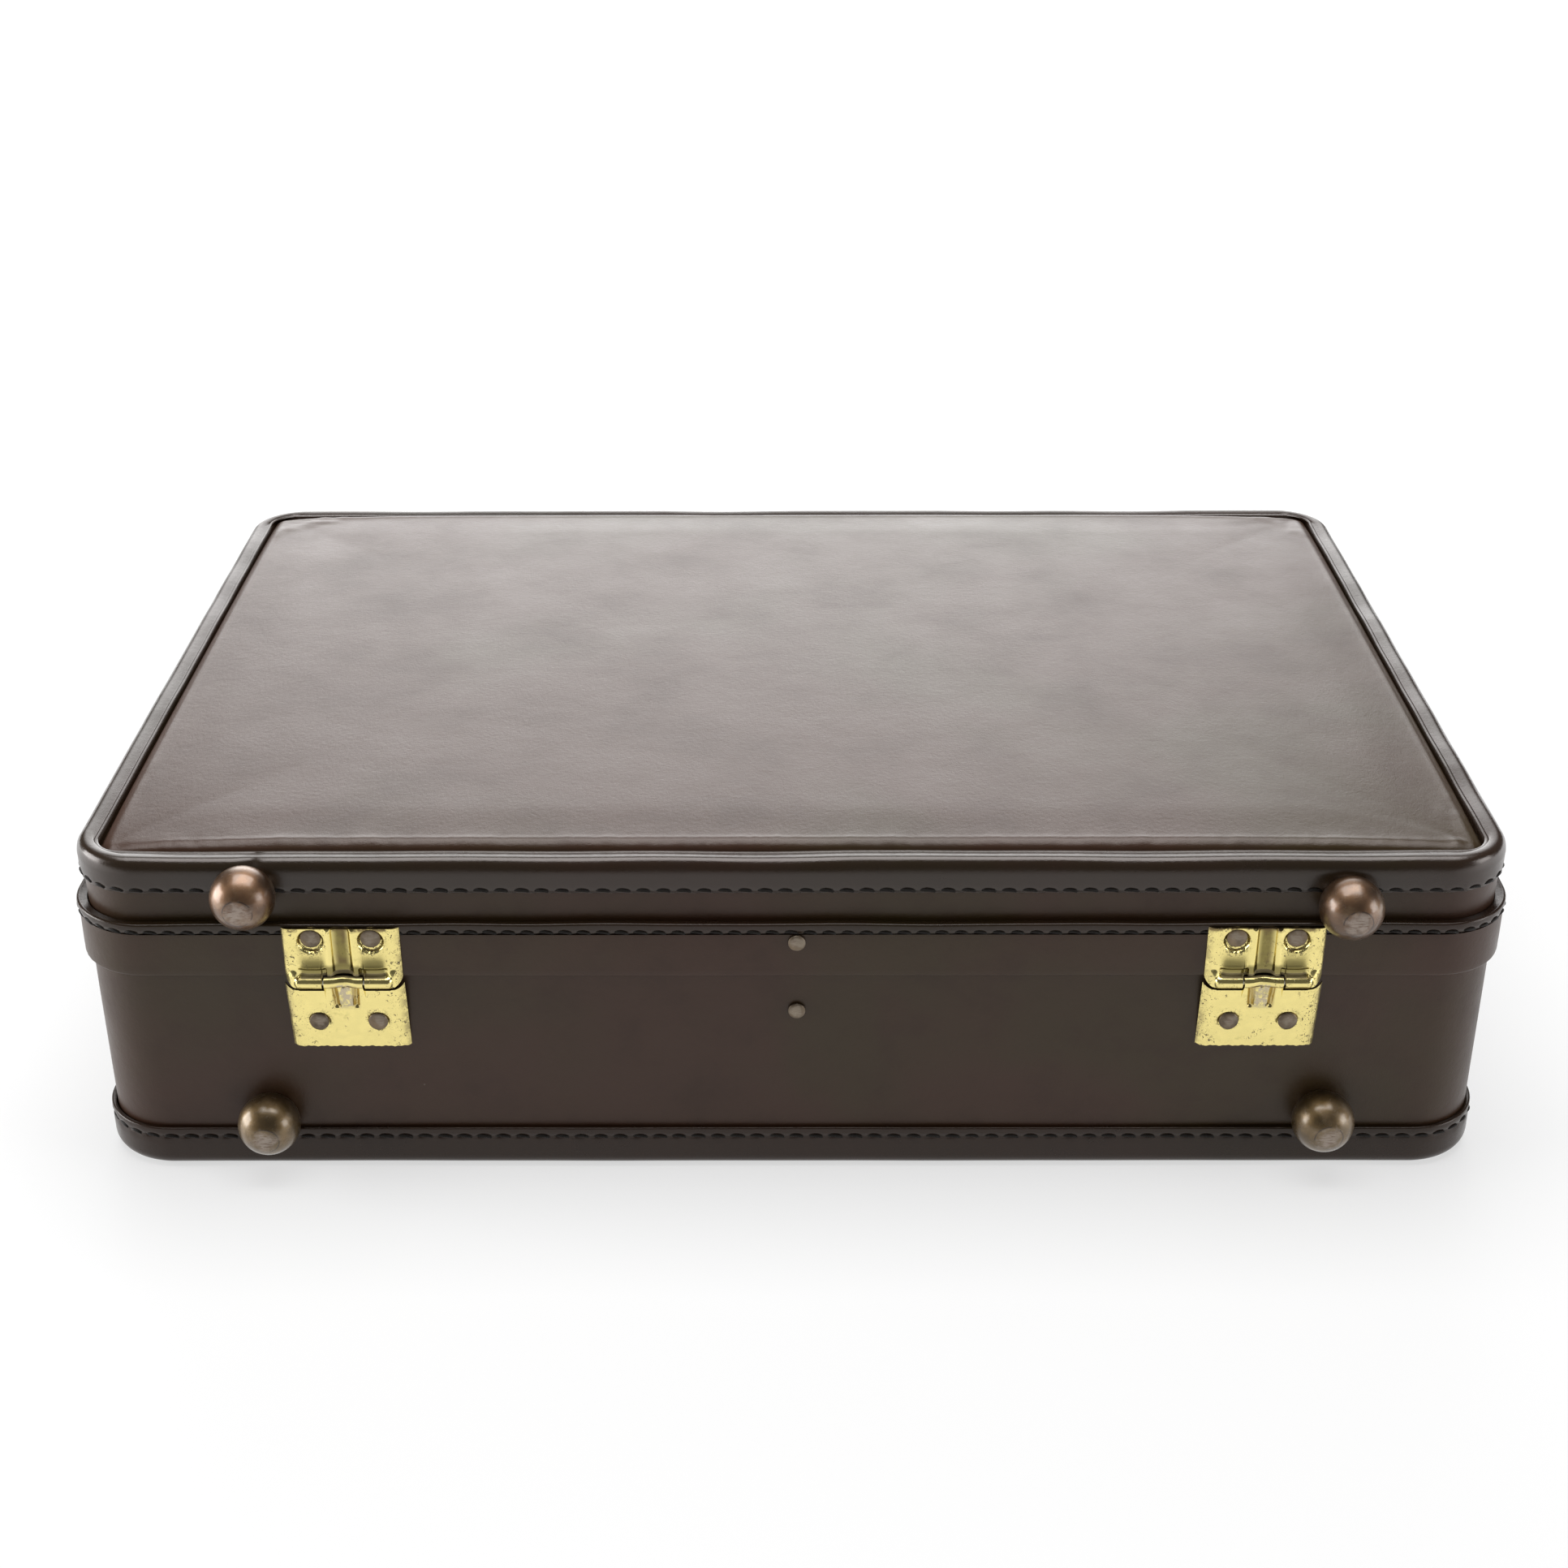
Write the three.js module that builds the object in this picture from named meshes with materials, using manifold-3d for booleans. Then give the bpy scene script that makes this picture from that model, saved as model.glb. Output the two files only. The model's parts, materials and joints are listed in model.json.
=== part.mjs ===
// A leather attache-style poker chip case: a base and a lid built as leather-covered board frames, hung on
// two pressed stop hinges at the rear, closed by two spring locks and carried by a swinging front handle.
// Inside are two chip racks and a card tray. Millimetres, +Z up, hinges towards -Y, handle towards +Y.
// The origin is under the middle of the case, on the surface that it lies on.
import * as THREE from "three";
import { mergeVertices } from "three/addons/utils/BufferGeometryUtils.js";
import Module from "manifold-3d";

const wasm = await Module();
wasm.setup();

// ---------- driving dimensions ----------
const HALF_WIDTH = 222; // body leather, left and right
const HALF_DEPTH = 151.7; // body leather, rear and front
const CORNER_RADIUS = 22;
const CORNER_STEPS = 6;
const LEAST_RADIUS = 3;
const CASE_HEIGHT = 113.6;
const GAP = 0.3; // between pieces that touch on the real case

// A section is drawn as [inset, height]: the inset is measured inwards from the body leather's outer face,
// so that a negative inset stands proud of the case. A third number sets the plan's corner radius there.
const LEATHER = 1.2;
const BOARD_INSET = LEATHER + GAP;
const BOARD = 5;
const LINING_INSET = BOARD_INSET + BOARD + GAP;
const LINING = 1;
const INNER_INSET = LINING_INSET + LINING; // the clear inside of the case

const FLOOR_LEATHER_Z = 0.6;
const FLOOR_BOARD_Z = 2.1;
const FLOOR_TOP_Z = 5.1;
const WALL_FOOT_Z = 1.8;
const BASE_TOP_Z = 80.8;
const LID_FOOT_Z = 81.2;
const LID_WALL_INSET = 1;
const LID_BOARD_INSET = LID_WALL_INSET + BOARD_INSET;
const LID_BOARD_TOP_Z = 108;
const CEILING_Z = 104.7;
const CUSHION_Z = 92;

const BINDING_TOP_Z = 15.1;
const BINDING_PROUD = 1.7;
const BAND_FOOT_Z = 72.7;
const BAND_PROUD = 2.3;
const HEM_FOOT_Z = 88.1;
const HEM_TOP_Z = 91.7;
const HEM_PROUD = 2.6;
const RIM_FOOT_Z = 101.3;
const RIM_PROUD = 0.3;
const RIM_REACH = 9;

const HINGE = {
  centres: { left: -138.2, right: 145.9 },
  axisInset: -4.6,
  axisZ: 72.2,
  knuckleRadius: 1.9,
  boreRadius: 1.25,
  pinRadius: 0.95,
  middleHalf: 6.2, // half of the middle knuckle's width
  outerEnd: 13.7,
  upper: { halfWidth: 18.2, footZ: 74.6, topZ: 90.5, front: -4.2, back: -3.4, flangeBack: -2.9 },
  lower: { halfWidth: 18.6, footZ: 47, topZ: 70.2, front: -2.6, back: -1.6, flangeBack: -0.4 },
  troughHalf: 3,
  dishRadius: 4.2,
  rivetSpacing: 18.4,
  upperRivetZ: 85.9,
  lowerRivetZ: 56.6,
};
const RIVET = { headRadius: 3.2, shankRadius: 1.5, holeRadius: 1.8, endInset: 6.2 };
const CENTRE_RIVET = { x: 1.8, upperZ: 85.2, lowerZ: 59.1, headRadius: 2.7, endInset: 9.9, burrRadius: 3 };
const STRAP = { halfWidth: 11, thickness: 1.4, topZ: 91.2, footZ: 53.5 };

const FOOT = { radius: 9.9, tipInset: -14.4, wearRadius: 3.2, shankRadius: 2, holeRadius: 2.3 };
// A foot that overhangs a proud strip has its dome lifted clear of it, on a collar that meets the wall.
const FEET = [
  { name: "foot_lid_left", x: -166.2, z: 102.6, baseInset: -0.9, collarRadius: 8 },
  { name: "foot_lid_right", x: 170.2, z: 98.8, baseInset: -2.9, collarRadius: 6.5 },
  { name: "foot_base_left", x: -166.6, z: 19.4, baseInset: -2, collarRadius: 3.9 },
  { name: "foot_base_right", x: 169.6, z: 20.3, baseInset: -2, collarRadius: 4.8 },
];

const LOCK = {
  centres: { left: -128, right: 128 },
  halfWidth: 20,
  footZ: 42,
  topZ: 71.5,
  front: -5,
  wall: 1,
  backplateFront: -1.2,
  backplateBack: -0.4,
  slotHalf: 5,
  slotFootZ: 60.5,
  buttonZ: 51.5,
  travel: 5,
};
const BOLT = { halfWidth: 9, footZ: 46, shoulderZ: 57, noseZ: 67 };
const SPRING = { radius: 0.95, wireRadius: 0.25, turns: 5, z: 52 };
const HASP = {
  axisInset: -5.6,
  axisZ: 80.5,
  knuckleRadius: 2,
  boreRadius: 1.3,
  pinRadius: 1,
  halfWidth: 13,
  footZ: 57.5,
  front: -6.8,
  back: -5.4,
  middleHalf: 7,
  bracketHalf: 17,
  bracketFootZ: 84,
  tongueHalf: 4,
  tongueFootZ: 62,
  tongueTopZ: 66,
  tongueEnd: -2.2,
};

const HANDLE = {
  postX: 62,
  axisInset: -7,
  axisZ: 50,
  wireRadius: 1.6,
  boreRadius: 1.9,
  knuckleRadius: 3.4,
  postHalf: 8,
  ringHalf: 12,
  ringDrop: 17,
  gripInset: -8.2,
  gripHalfDepth: 6.2,
  gripZ: 28,
  gripHalfHeight: 9,
};

const CHIP_RADIUS = 20; // a 39 mm chip with room to turn
const RACK = {
  depthY: [-135.5, 40.5],
  halfWidth: 106.2,
  topZ: 56,
  footZ: 5.4,
  wall: 3,
  pitch: 41,
  troughDepth: 16,
};
const CHANNELS = 5;
const CHANNEL_HALF_LENGTH = 84;
const TRAY = {
  depthY: [41.1, 142.9],
  halfWidth: 213,
  topZ: 56,
  footZ: 5.4,
  wellY: [46, 138],
  wellFloorZ: 24,
  cardHalf: 34,
  wallHalf: 2,
  outerWall: 10,
};

// ---------- solids ----------
function geometryOf(solid) {
  const mesh = solid.getMesh();
  const position = new Float32Array(mesh.numVert * 3);
  for (let i = 0; i < mesh.numVert; i++) {
    const at = i * mesh.numProp;
    position.set(mesh.vertProperties.subarray(at, at + 3), i * 3);
  }
  const geometry = new THREE.BufferGeometry();
  geometry.setAttribute("position", new THREE.BufferAttribute(position, 3));
  geometry.setIndex(new THREE.BufferAttribute(new Uint32Array(mesh.triVerts), 1));
  return geometry;
}

function solidOf(geometry) {
  const bare = geometry.clone();
  for (const extra of ["normal", "uv"]) bare.deleteAttribute(extra);
  const merged = mergeVertices(bare, 1e-3);
  const solid = new wasm.Manifold(
    new wasm.Mesh({
      numProp: 3,
      vertProperties: merged.attributes.position.array,
      triVerts: new Uint32Array(merged.index.array),
    }),
  );
  return solid;
}

function signedVolume(position, index) {
  const a = new THREE.Vector3();
  const b = new THREE.Vector3();
  const c = new THREE.Vector3();
  let sum = 0;
  for (let i = 0; i < index.length; i += 3) {
    a.fromArray(position, index[i] * 3);
    b.fromArray(position, index[i + 1] * 3);
    c.fromArray(position, index[i + 2] * 3);
    sum += a.dot(b.cross(c));
  }
  return sum / 6;
}

// Faces between points and triangles, turned so that they point out.
function closedGeometry(points, index) {
  const position = new Float32Array(points.flat());
  if (signedVolume(position, index) < 0) {
    for (let i = 0; i < index.length; i += 3) [index[i + 1], index[i + 2]] = [index[i + 2], index[i + 1]];
  }
  const geometry = new THREE.BufferGeometry();
  geometry.setAttribute("position", new THREE.BufferAttribute(position, 3));
  geometry.setIndex(index);
  return geometry;
}

// The case's rounded outline at an inset, anticlockwise from the right rear corner.
function outlineAt(inset, radius = Math.max(CORNER_RADIUS - inset, LEAST_RADIUS)) {
  const x = HALF_WIDTH - inset - radius;
  const y = HALF_DEPTH - inset - radius;
  const centres = [
    [x, -y, -90],
    [x, y, 0],
    [-x, y, 90],
    [-x, -y, 180],
  ];
  const points = [];
  for (const [cx, cy, start] of centres) {
    for (let i = 0; i <= CORNER_STEPS; i++) {
      const angle = THREE.MathUtils.degToRad(start + (90 * i) / CORNER_STEPS);
      points.push([cx + radius * Math.cos(angle), cy + radius * Math.sin(angle)]);
    }
  }
  return points;
}

function sweptRows(section) {
  return section.map(([inset, z, radius]) => outlineAt(inset, radius).map(([x, y]) => [x, y, z]));
}

function bridge(index, a, b, count) {
  for (let j = 0; j < count; j++) {
    const k = (j + 1) % count;
    index.push(a + j, a + k, b + k, a + j, b + k, b + j);
  }
}

// A closed section carried round the case's outline.
function ring(section) {
  const rows = sweptRows(section);
  const count = rows[0].length;
  const index = [];
  rows.forEach((_, i) => bridge(index, i * count, ((i + 1) % rows.length) * count, count));
  return closedGeometry(rows.flat(), index);
}

// A filled plate whose edge follows a section from its lower face to its upper face.
function plate(section) {
  const rows = sweptRows(section);
  const count = rows[0].length;
  const index = [];
  for (let i = 0; i + 1 < rows.length; i++) bridge(index, i * count, (i + 1) * count, count);
  const points = rows.flat();
  const low = points.push([0, 0, section[0][1]]) - 1;
  const high = points.push([0, 0, section.at(-1)[1]]) - 1;
  const last = (rows.length - 1) * count;
  for (let j = 0; j < count; j++) {
    const k = (j + 1) % count;
    index.push(low, k, j, high, last + j, last + k);
  }
  return closedGeometry(points, index);
}

const rect = (inset0, inset1, z0, z1) => [
  [inset0, z0],
  [inset1, z0],
  [inset1, z1],
  [inset0, z1],
];

function block([x0, x1], [y0, y1], [z0, z1]) {
  const geometry = new THREE.BoxGeometry(x1 - x0, y1 - y0, z1 - z0);
  return solidOf(geometry.translate((x0 + x1) / 2, (y0 + y1) / 2, (z0 + z1) / 2));
}

function rodAlongX(x0, x1, y, z, radius, sides = 16) {
  const geometry = new THREE.CylinderGeometry(radius, radius, x1 - x0, sides).rotateZ(Math.PI / 2);
  return solidOf(geometry.translate((x0 + x1) / 2, y, z));
}

function rodAlongY(x, z, y0, y1, radius, sides = 14) {
  const geometry = new THREE.CylinderGeometry(radius, radius, y1 - y0, sides);
  return solidOf(geometry.translate(x, (y0 + y1) / 2, z));
}

const union = (first, ...others) => others.reduce((sum, next) => sum.add(next), first);
const less = (first, ...others) => others.reduce((sum, next) => sum.subtract(next), first);

// Rear and front faces: a point at an inset from each.
const rearY = (inset) => -HALF_DEPTH + inset;
const frontY = (inset) => HALF_DEPTH - inset;
const rearSpan = (a, b) => [Math.min(rearY(a), rearY(b)), Math.max(rearY(a), rearY(b))];
const frontSpan = (a, b) => [Math.min(frontY(a), frontY(b)), Math.max(frontY(a), frontY(b))];
const around = (centre, half) => [centre - half, centre + half];

// ---------- materials ----------
function material(colour, roughness, metalness = 0) {
  return new THREE.MeshStandardMaterial({ color: new THREE.Color(...colour), roughness, metalness });
}
const materials = {
  leather: material([0.075, 0.055, 0.043], 0.45),
  bindingLeather: material([0.05, 0.04, 0.034], 0.4),
  board: material([0.42, 0.31, 0.2], 0.8),
  felt: material([0.03, 0.12, 0.07], 0.95),
  walnut: material([0.2, 0.1, 0.05], 0.45),
  brass: material([0.8, 0.66, 0.28], 0.25, 1),
  oldBrass: material([0.42, 0.31, 0.18], 0.35, 1),
  steel: material([0.5, 0.5, 0.5], 0.35, 1),
};

const AXIS_X = new THREE.Vector3(1, 0, 0);
const AXIS_Y = new THREE.Vector3(0, 1, 0);
const AXIS_Z = new THREE.Vector3(0, 0, 1);

const group = new THREE.Group();
function add(name, shape, look) {
  const geometry = shape.isBufferGeometry ? shape : geometryOf(shape);
  const mesh = new THREE.Mesh(geometry, look);
  mesh.name = name;
  group.add(mesh);
}

// ---------- holes for the fasteners that pass through the rear walls ----------
const rearHole = (x, z, radius) => rodAlongY(x, z, rearY(-12), rearY(12), radius, 12);
const hingeSides = Object.entries(HINGE.centres);
const rivetXs = (centre) => [centre - HINGE.rivetSpacing / 2, centre + HINGE.rivetSpacing / 2];

const footHoles = (part) =>
  FEET.filter((f) => f.name.includes(part)).map((f) => rearHole(f.x, f.z, FOOT.holeRadius));
const hingeHoles = (z) =>
  hingeSides.flatMap(([, centre]) => rivetXs(centre).map((x) => rearHole(x, z, RIVET.holeRadius)));
const lidCentreHole = rearHole(CENTRE_RIVET.x, CENTRE_RIVET.upperZ, RIVET.holeRadius);
const baseCentreHole = rearHole(CENTRE_RIVET.x, CENTRE_RIVET.lowerZ, RIVET.holeRadius);
const lidHoles = [...hingeHoles(HINGE.upperRivetZ), lidCentreHole];
const baseHoles = [...hingeHoles(HINGE.lowerRivetZ), baseCentreHole, ...footHoles("base")];

// ---------- base shell ----------
function addBaseShell() {
  const sideLeather = ring([
    [0, WALL_FOOT_Z],
    [LEATHER, WALL_FOOT_Z],
    [LEATHER, BASE_TOP_Z - LEATHER],
    [INNER_INSET, BASE_TOP_Z - LEATHER],
    [INNER_INSET, BASE_TOP_Z],
    [0, BASE_TOP_Z],
  ]);
  const wallTopZ = BASE_TOP_Z - LEATHER - GAP;
  const frame = ring(rect(BOARD_INSET, BOARD_INSET + BOARD, WALL_FOOT_Z, wallTopZ));
  const lining = ring(rect(LINING_INSET, INNER_INSET, FLOOR_TOP_Z + GAP, wallTopZ));
  const floorEdge = RIM_REACH + GAP;
  add("base_side_leather", less(solidOf(sideLeather), ...baseHoles), materials.leather);
  add("base_frame", less(solidOf(frame), ...baseHoles), materials.board);
  add("base_wall_lining", less(solidOf(lining), baseCentreHole), materials.felt);
  const floor = [
    [LINING_INSET, FLOOR_BOARD_Z],
    [LINING_INSET, FLOOR_TOP_Z],
  ];
  const bottom = [
    [floorEdge, FLOOR_LEATHER_Z],
    [floorEdge, WALL_FOOT_Z],
  ];
  add("base_floor_board", plate(floor), materials.board);
  add("base_bottom_leather", plate(bottom), materials.leather);
}

// The stitched strip that wraps the bottom edge; the case lies on it.
function addBottomBinding() {
  const turn = 3.6; // radius of the outer edge
  const section = [
    [-BINDING_PROUD, BINDING_TOP_Z],
    [-GAP, BINDING_TOP_Z],
    [-GAP, 1.5],
    [RIM_REACH, 1.5],
    [RIM_REACH, 0],
    [turn - BINDING_PROUD, 0],
  ];
  for (let i = 1; i < 4; i++) {
    const angle = THREE.MathUtils.degToRad(270 - (90 * i) / 4);
    section.push([turn - BINDING_PROUD + turn * Math.cos(angle), turn + turn * Math.sin(angle)]);
  }
  section.push([-BINDING_PROUD, turn]);
  add("base_bottom_binding", ring(section), materials.bindingLeather);
}

// ---------- lid shell ----------
function addLidShell() {
  const outer = LID_WALL_INSET;
  const sideLeather = ring([
    [outer, LID_FOOT_Z],
    [INNER_INSET, LID_FOOT_Z],
    [INNER_INSET, LID_FOOT_Z + LEATHER],
    [outer + LEATHER, LID_FOOT_Z + LEATHER],
    [outer + LEATHER, LID_BOARD_TOP_Z],
    [outer, LID_BOARD_TOP_Z],
  ]);
  const wallFootZ = LID_FOOT_Z + LEATHER + GAP;
  const frameInner = BOARD_INSET + BOARD;
  const frame = ring(rect(LID_BOARD_INSET, frameInner, wallFootZ, LID_BOARD_TOP_Z));
  const lining = ring(rect(LINING_INSET, INNER_INSET, wallFootZ, CEILING_Z - GAP));
  add("lid_side_leather", less(solidOf(sideLeather), ...lidHoles, ...footHoles("lid")), materials.leather);
  add("lid_frame", less(solidOf(frame), ...lidHoles, ...footHoles("lid")), materials.board);
  add("lid_wall_lining", less(solidOf(lining), lidCentreHole), materials.felt);
  const board = [
    [LINING_INSET, CEILING_Z],
    [LINING_INSET, LID_BOARD_TOP_Z],
  ];
  add("lid_top_board", plate(board), materials.board);
  const panelEdge = RIM_REACH + GAP + 0.2;
  const panel = plate([
    [panelEdge, LID_BOARD_TOP_Z + GAP, LEAST_RADIUS],
    [panelEdge, 110.8, LEAST_RADIUS],
    [panelEdge + 2.5, 112.6, LEAST_RADIUS],
    [panelEdge + 9, 113.4, 8],
    [panelEdge + 30, CASE_HEIGHT, 24],
  ]);
  add("lid_panel", panel, materials.leather);
  const cushionEdge = INNER_INSET + GAP;
  const cushion = plate([
    [cushionEdge + 12, CUSHION_Z],
    [cushionEdge + 3, CUSHION_Z + 2.5],
    [cushionEdge, CUSHION_Z + 6],
    [cushionEdge, CEILING_Z - GAP],
  ]);
  add("lid_cushion", cushion, materials.felt);
}

// The stitched roll round the lid's upper edge, with its skirt down the side.
function addRimBinding() {
  const skirtInner = LID_WALL_INSET - GAP;
  const section = [
    [-RIM_PROUD, RIM_FOOT_Z],
    [skirtInner, RIM_FOOT_Z],
    [skirtInner, LID_BOARD_TOP_Z + GAP],
    [RIM_REACH, LID_BOARD_TOP_Z + GAP, LEAST_RADIUS],
    [RIM_REACH, 111.4, LEAST_RADIUS],
    [7.4, 113, 6],
    [4.6, CASE_HEIGHT, 13],
    [2.2, 113.2, 18],
    [0.5, 111.8],
    [-RIM_PROUD, 109.6],
  ];
  add("lid_rim_binding", less(solidOf(ring(section)), ...footHoles("lid")), materials.bindingLeather);
}

// The stiff band round the lid's lower edge, which hangs over the top of the base.
function addBand() {
  const innerUpper = LID_WALL_INSET - GAP;
  const innerLower = -0.4;
  const band = ring([
    [-BAND_PROUD, BAND_FOOT_Z],
    [innerLower, BAND_FOOT_Z],
    [innerLower, LID_FOOT_Z],
    [innerUpper, LID_FOOT_Z],
    [innerUpper, HEM_FOOT_Z - GAP],
    [-BAND_PROUD, HEM_FOOT_Z - GAP],
  ]);
  const hem = ring([
    [-HEM_PROUD, HEM_FOOT_Z],
    [innerUpper, HEM_FOOT_Z],
    [innerUpper, HEM_TOP_Z],
    [-HEM_PROUD + 0.9, HEM_TOP_Z],
    [-HEM_PROUD, HEM_TOP_Z - 0.9],
  ]);
  add("lid_band", less(solidOf(band), ...lidHoles), materials.leather);
  add("lid_band_hem", hem, materials.bindingLeather);
}

// ---------- hinges ----------
// A pressed leaf: its sheet, the side flanges that turn back to the wall, and the knuckles round the pin.
function pressedLeaf(centre, leaf, knuckles) {
  const flange = 1;
  const height = [leaf.footZ, leaf.topZ];
  const sheet = block(around(centre, leaf.halfWidth), rearSpan(leaf.front, leaf.back), height);
  const sides = [-1, 1].map((side) => {
    const edge = centre + side * leaf.halfWidth;
    const span = [Math.min(edge, edge - side * flange), Math.max(edge, edge - side * flange)];
    return block(span, rearSpan(leaf.front, leaf.flangeBack), height);
  });
  return union(sheet, ...sides, ...knuckles);
}

function addHinge(side, centre) {
  const { axisInset, axisZ, upper, lower, middleHalf, outerEnd, troughHalf, dishRadius } = HINGE;
  const wall = 0.7;
  const axisY = rearY(axisInset);
  const knuckle = (x0, x1) => rodAlongX(x0, x1, axisY, axisZ, HINGE.knuckleRadius);
  const bore = rodAlongX(centre - 20, centre + 20, axisY, axisZ, HINGE.boreRadius, 12);
  const outerSpans = [
    [centre - outerEnd, centre - middleHalf - GAP],
    [centre + middleHalf + GAP, centre + outerEnd],
  ];

  const webHeight = [axisZ + 1.4, upper.footZ + 1];
  const floorBack = upper.flangeBack;
  const floorFront = upper.back - 0.1;
  let upperLeaf = pressedLeaf(centre, upper, [
    ...outerSpans.map(([a, b]) => knuckle(a, b)),
    ...outerSpans.map((span) => block(span, rearSpan(upper.front, upper.back), webHeight)),
    block(around(centre, troughHalf + wall), rearSpan(floorFront, floorBack), [upper.footZ, upper.topZ]),
    ...rivetXs(centre).map((x) =>
      rodAlongY(x, HINGE.upperRivetZ, ...rearSpan(floorFront, floorBack), dishRadius + wall, 18),
    ),
  ]);
  const troughDepth = rearSpan(upper.front - 1, floorFront);
  upperLeaf = less(
    upperLeaf,
    block(around(centre, troughHalf), troughDepth, [upper.footZ - 1, upper.topZ + 1]),
    ...rivetXs(centre).map((x) => rodAlongY(x, HINGE.upperRivetZ, ...troughDepth, dishRadius, 18)),
    ...rivetXs(centre).map((x) => rearHole(x, HINGE.upperRivetZ, RIVET.holeRadius)),
    bore,
  );
  add(`hinge_${side}_upper_leaf`, upperLeaf, materials.brass);

  const tabFront = axisInset + 0.6;
  const lowerLeaf = less(
    pressedLeaf(centre, lower, [
      knuckle(centre - middleHalf, centre + middleHalf),
      block(around(centre, middleHalf), rearSpan(tabFront, lower.back), [lower.topZ - 1.2, axisZ]),
      block(around(centre, 2), rearSpan(lower.front - 0.9, lower.back), [lower.topZ - 6, lower.topZ]),
    ]),
    ...rivetXs(centre).map((x) => rearHole(x, HINGE.lowerRivetZ, RIVET.holeRadius)),
    bore,
  );
  add(`hinge_${side}_lower_leaf`, lowerLeaf, materials.brass);
  const pin = rodAlongX(centre - outerEnd, centre + outerEnd, axisY, axisZ, HINGE.pinRadius, 12);
  add(`hinge_${side}_pin`, pin, materials.steel);
}

// A rivet along Y, headed outside at headInset, with a burr inside if it has one.
function rivet(x, z, headInset, headHeight, headRadius, endInset, burr) {
  const { shankRadius } = RIVET;
  const head = rearY(headInset);
  const end = rearY(endInset);
  const profile = [
    [0, head - headHeight],
    [headRadius * 0.6, head - headHeight],
    [headRadius, head - headHeight * 0.4],
    [headRadius, head],
    [shankRadius, head],
    [shankRadius, end],
  ];
  if (burr) profile.push([burr, end], [burr, end + 0.7], [burr * 0.5, end + 1]);
  profile.push([0, profile.at(-1)[1]]);
  const geometry = new THREE.LatheGeometry(profile.map(([r, y]) => new THREE.Vector2(r, y)), 14);
  return solidOf(geometry.translate(x, 0, z));
}

function addRivets() {
  for (const [side, centre] of hingeSides) {
    rivetXs(centre).forEach((x, i) => {
      const place = ["outer", "inner"][side === "left" ? i : 1 - i];
      const { headRadius, endInset } = RIVET;
      const upper = rivet(x, HINGE.upperRivetZ, HINGE.upper.back - 0.4, 1.1, headRadius, endInset);
      const lower = rivet(x, HINGE.lowerRivetZ, HINGE.lower.front - GAP, 0.9, headRadius, endInset);
      add(`hinge_${side}_upper_rivet_${place}`, upper, materials.oldBrass);
      add(`hinge_${side}_lower_rivet_${place}`, lower, materials.oldBrass);
    });
  }
  const { x, upperZ, lowerZ, headRadius, endInset, burrRadius } = CENTRE_RIVET;
  const upper = rivet(x, upperZ, -BAND_PROUD - GAP, 1, headRadius, endInset, burrRadius);
  const lower = rivet(x, lowerZ, -GAP, 1, headRadius, endInset, burrRadius);
  add("centre_rivet_lid", upper, materials.oldBrass);
  add("centre_rivet_base", lower, materials.oldBrass);
}

// The slack leather strap inside the rear wall that the two centre rivets hold.
function addStrap() {
  const { halfWidth, thickness, topZ, footZ } = STRAP;
  const wall = INNER_INSET + GAP;
  const line = [
    [wall, footZ],
    [wall, 64.5],
    [wall + 1.2, 68],
    [wall + 2.4, 72.3],
    [wall + 1.2, 76.6],
    [wall, 80],
    [wall, topZ],
  ];
  const outline = [...line, ...line.map(([inset, z]) => [inset + thickness, z]).reverse()];
  const shape = new THREE.Shape(outline.map(([inset, z]) => new THREE.Vector2(rearY(inset), z)));
  const geometry = new THREE.ExtrudeGeometry(shape, { depth: halfWidth * 2, bevelEnabled: false });
  // The shape's x, y and depth become the case's Y, Z and X.
  const turned = new THREE.Matrix4().makeBasis(AXIS_Y, AXIS_Z, AXIS_X);
  geometry.applyMatrix4(turned.setPosition(CENTRE_RIVET.x - halfWidth, 0, 0));
  add("centre_strap", less(solidOf(geometry), lidCentreHole, baseCentreHole), materials.leather);
}

// ---------- domed feet ----------
function addFeet() {
  const { radius, tipInset, wearRadius, shankRadius } = FOOT;
  for (const { name, x, z, baseInset, collarRadius } of FEET) {
    const tip = rearY(tipInset);
    const wearAngle = Math.asin(wearRadius / radius);
    const centre = tip + radius * Math.cos(wearAngle);
    const profile = [[0, tip]];
    for (let i = 0; i <= 7; i++) {
      const angle = THREE.MathUtils.lerp(wearAngle, Math.PI / 2, i / 7);
      profile.push([radius * Math.sin(angle), centre - radius * Math.cos(angle)]);
    }
    const base = rearY(baseInset);
    const collarBase = rearY(name.includes("lid") ? -RIM_PROUD - GAP : -GAP);
    profile.push([radius, base], [collarRadius, base], [collarRadius, collarBase]);
    const end = rearY(RIVET.endInset);
    profile.push([shankRadius, collarBase], [shankRadius, end], [0, end]);
    const lathe = new THREE.LatheGeometry(profile.map(([r, y]) => new THREE.Vector2(r, y)), 20);
    add(name, solidOf(lathe.translate(x, 0, z)), materials.oldBrass);
  }
}

// ---------- front locks ----------
function lockCover(centre, travelSide) {
  const { halfWidth, footZ, topZ, front, wall, slotHalf, slotFootZ, buttonZ, travel } = LOCK;
  const skirtBack = LOCK.backplateFront - GAP;
  const shell = block(around(centre, halfWidth), frontSpan(front, skirtBack), [footZ, topZ]);
  const inside = block(
    around(centre, halfWidth - wall),
    frontSpan(front + wall, skirtBack + 1),
    [footZ + wall, topZ - wall],
  );
  const through = frontSpan(front - 1, skirtBack + 1);
  const tongueSlot = block(around(centre, slotHalf), through, [slotFootZ, topZ + 1]);
  const stem = 3;
  const slide = [centre - stem, centre + stem];
  slide[travelSide > 0 ? 1 : 0] += travelSide * travel;
  const buttonSlot = block(slide, frontSpan(front - 1, front + wall + 0.2), around(buttonZ, 2.4));
  return less(shell, inside, tongueSlot, buttonSlot);
}

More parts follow.
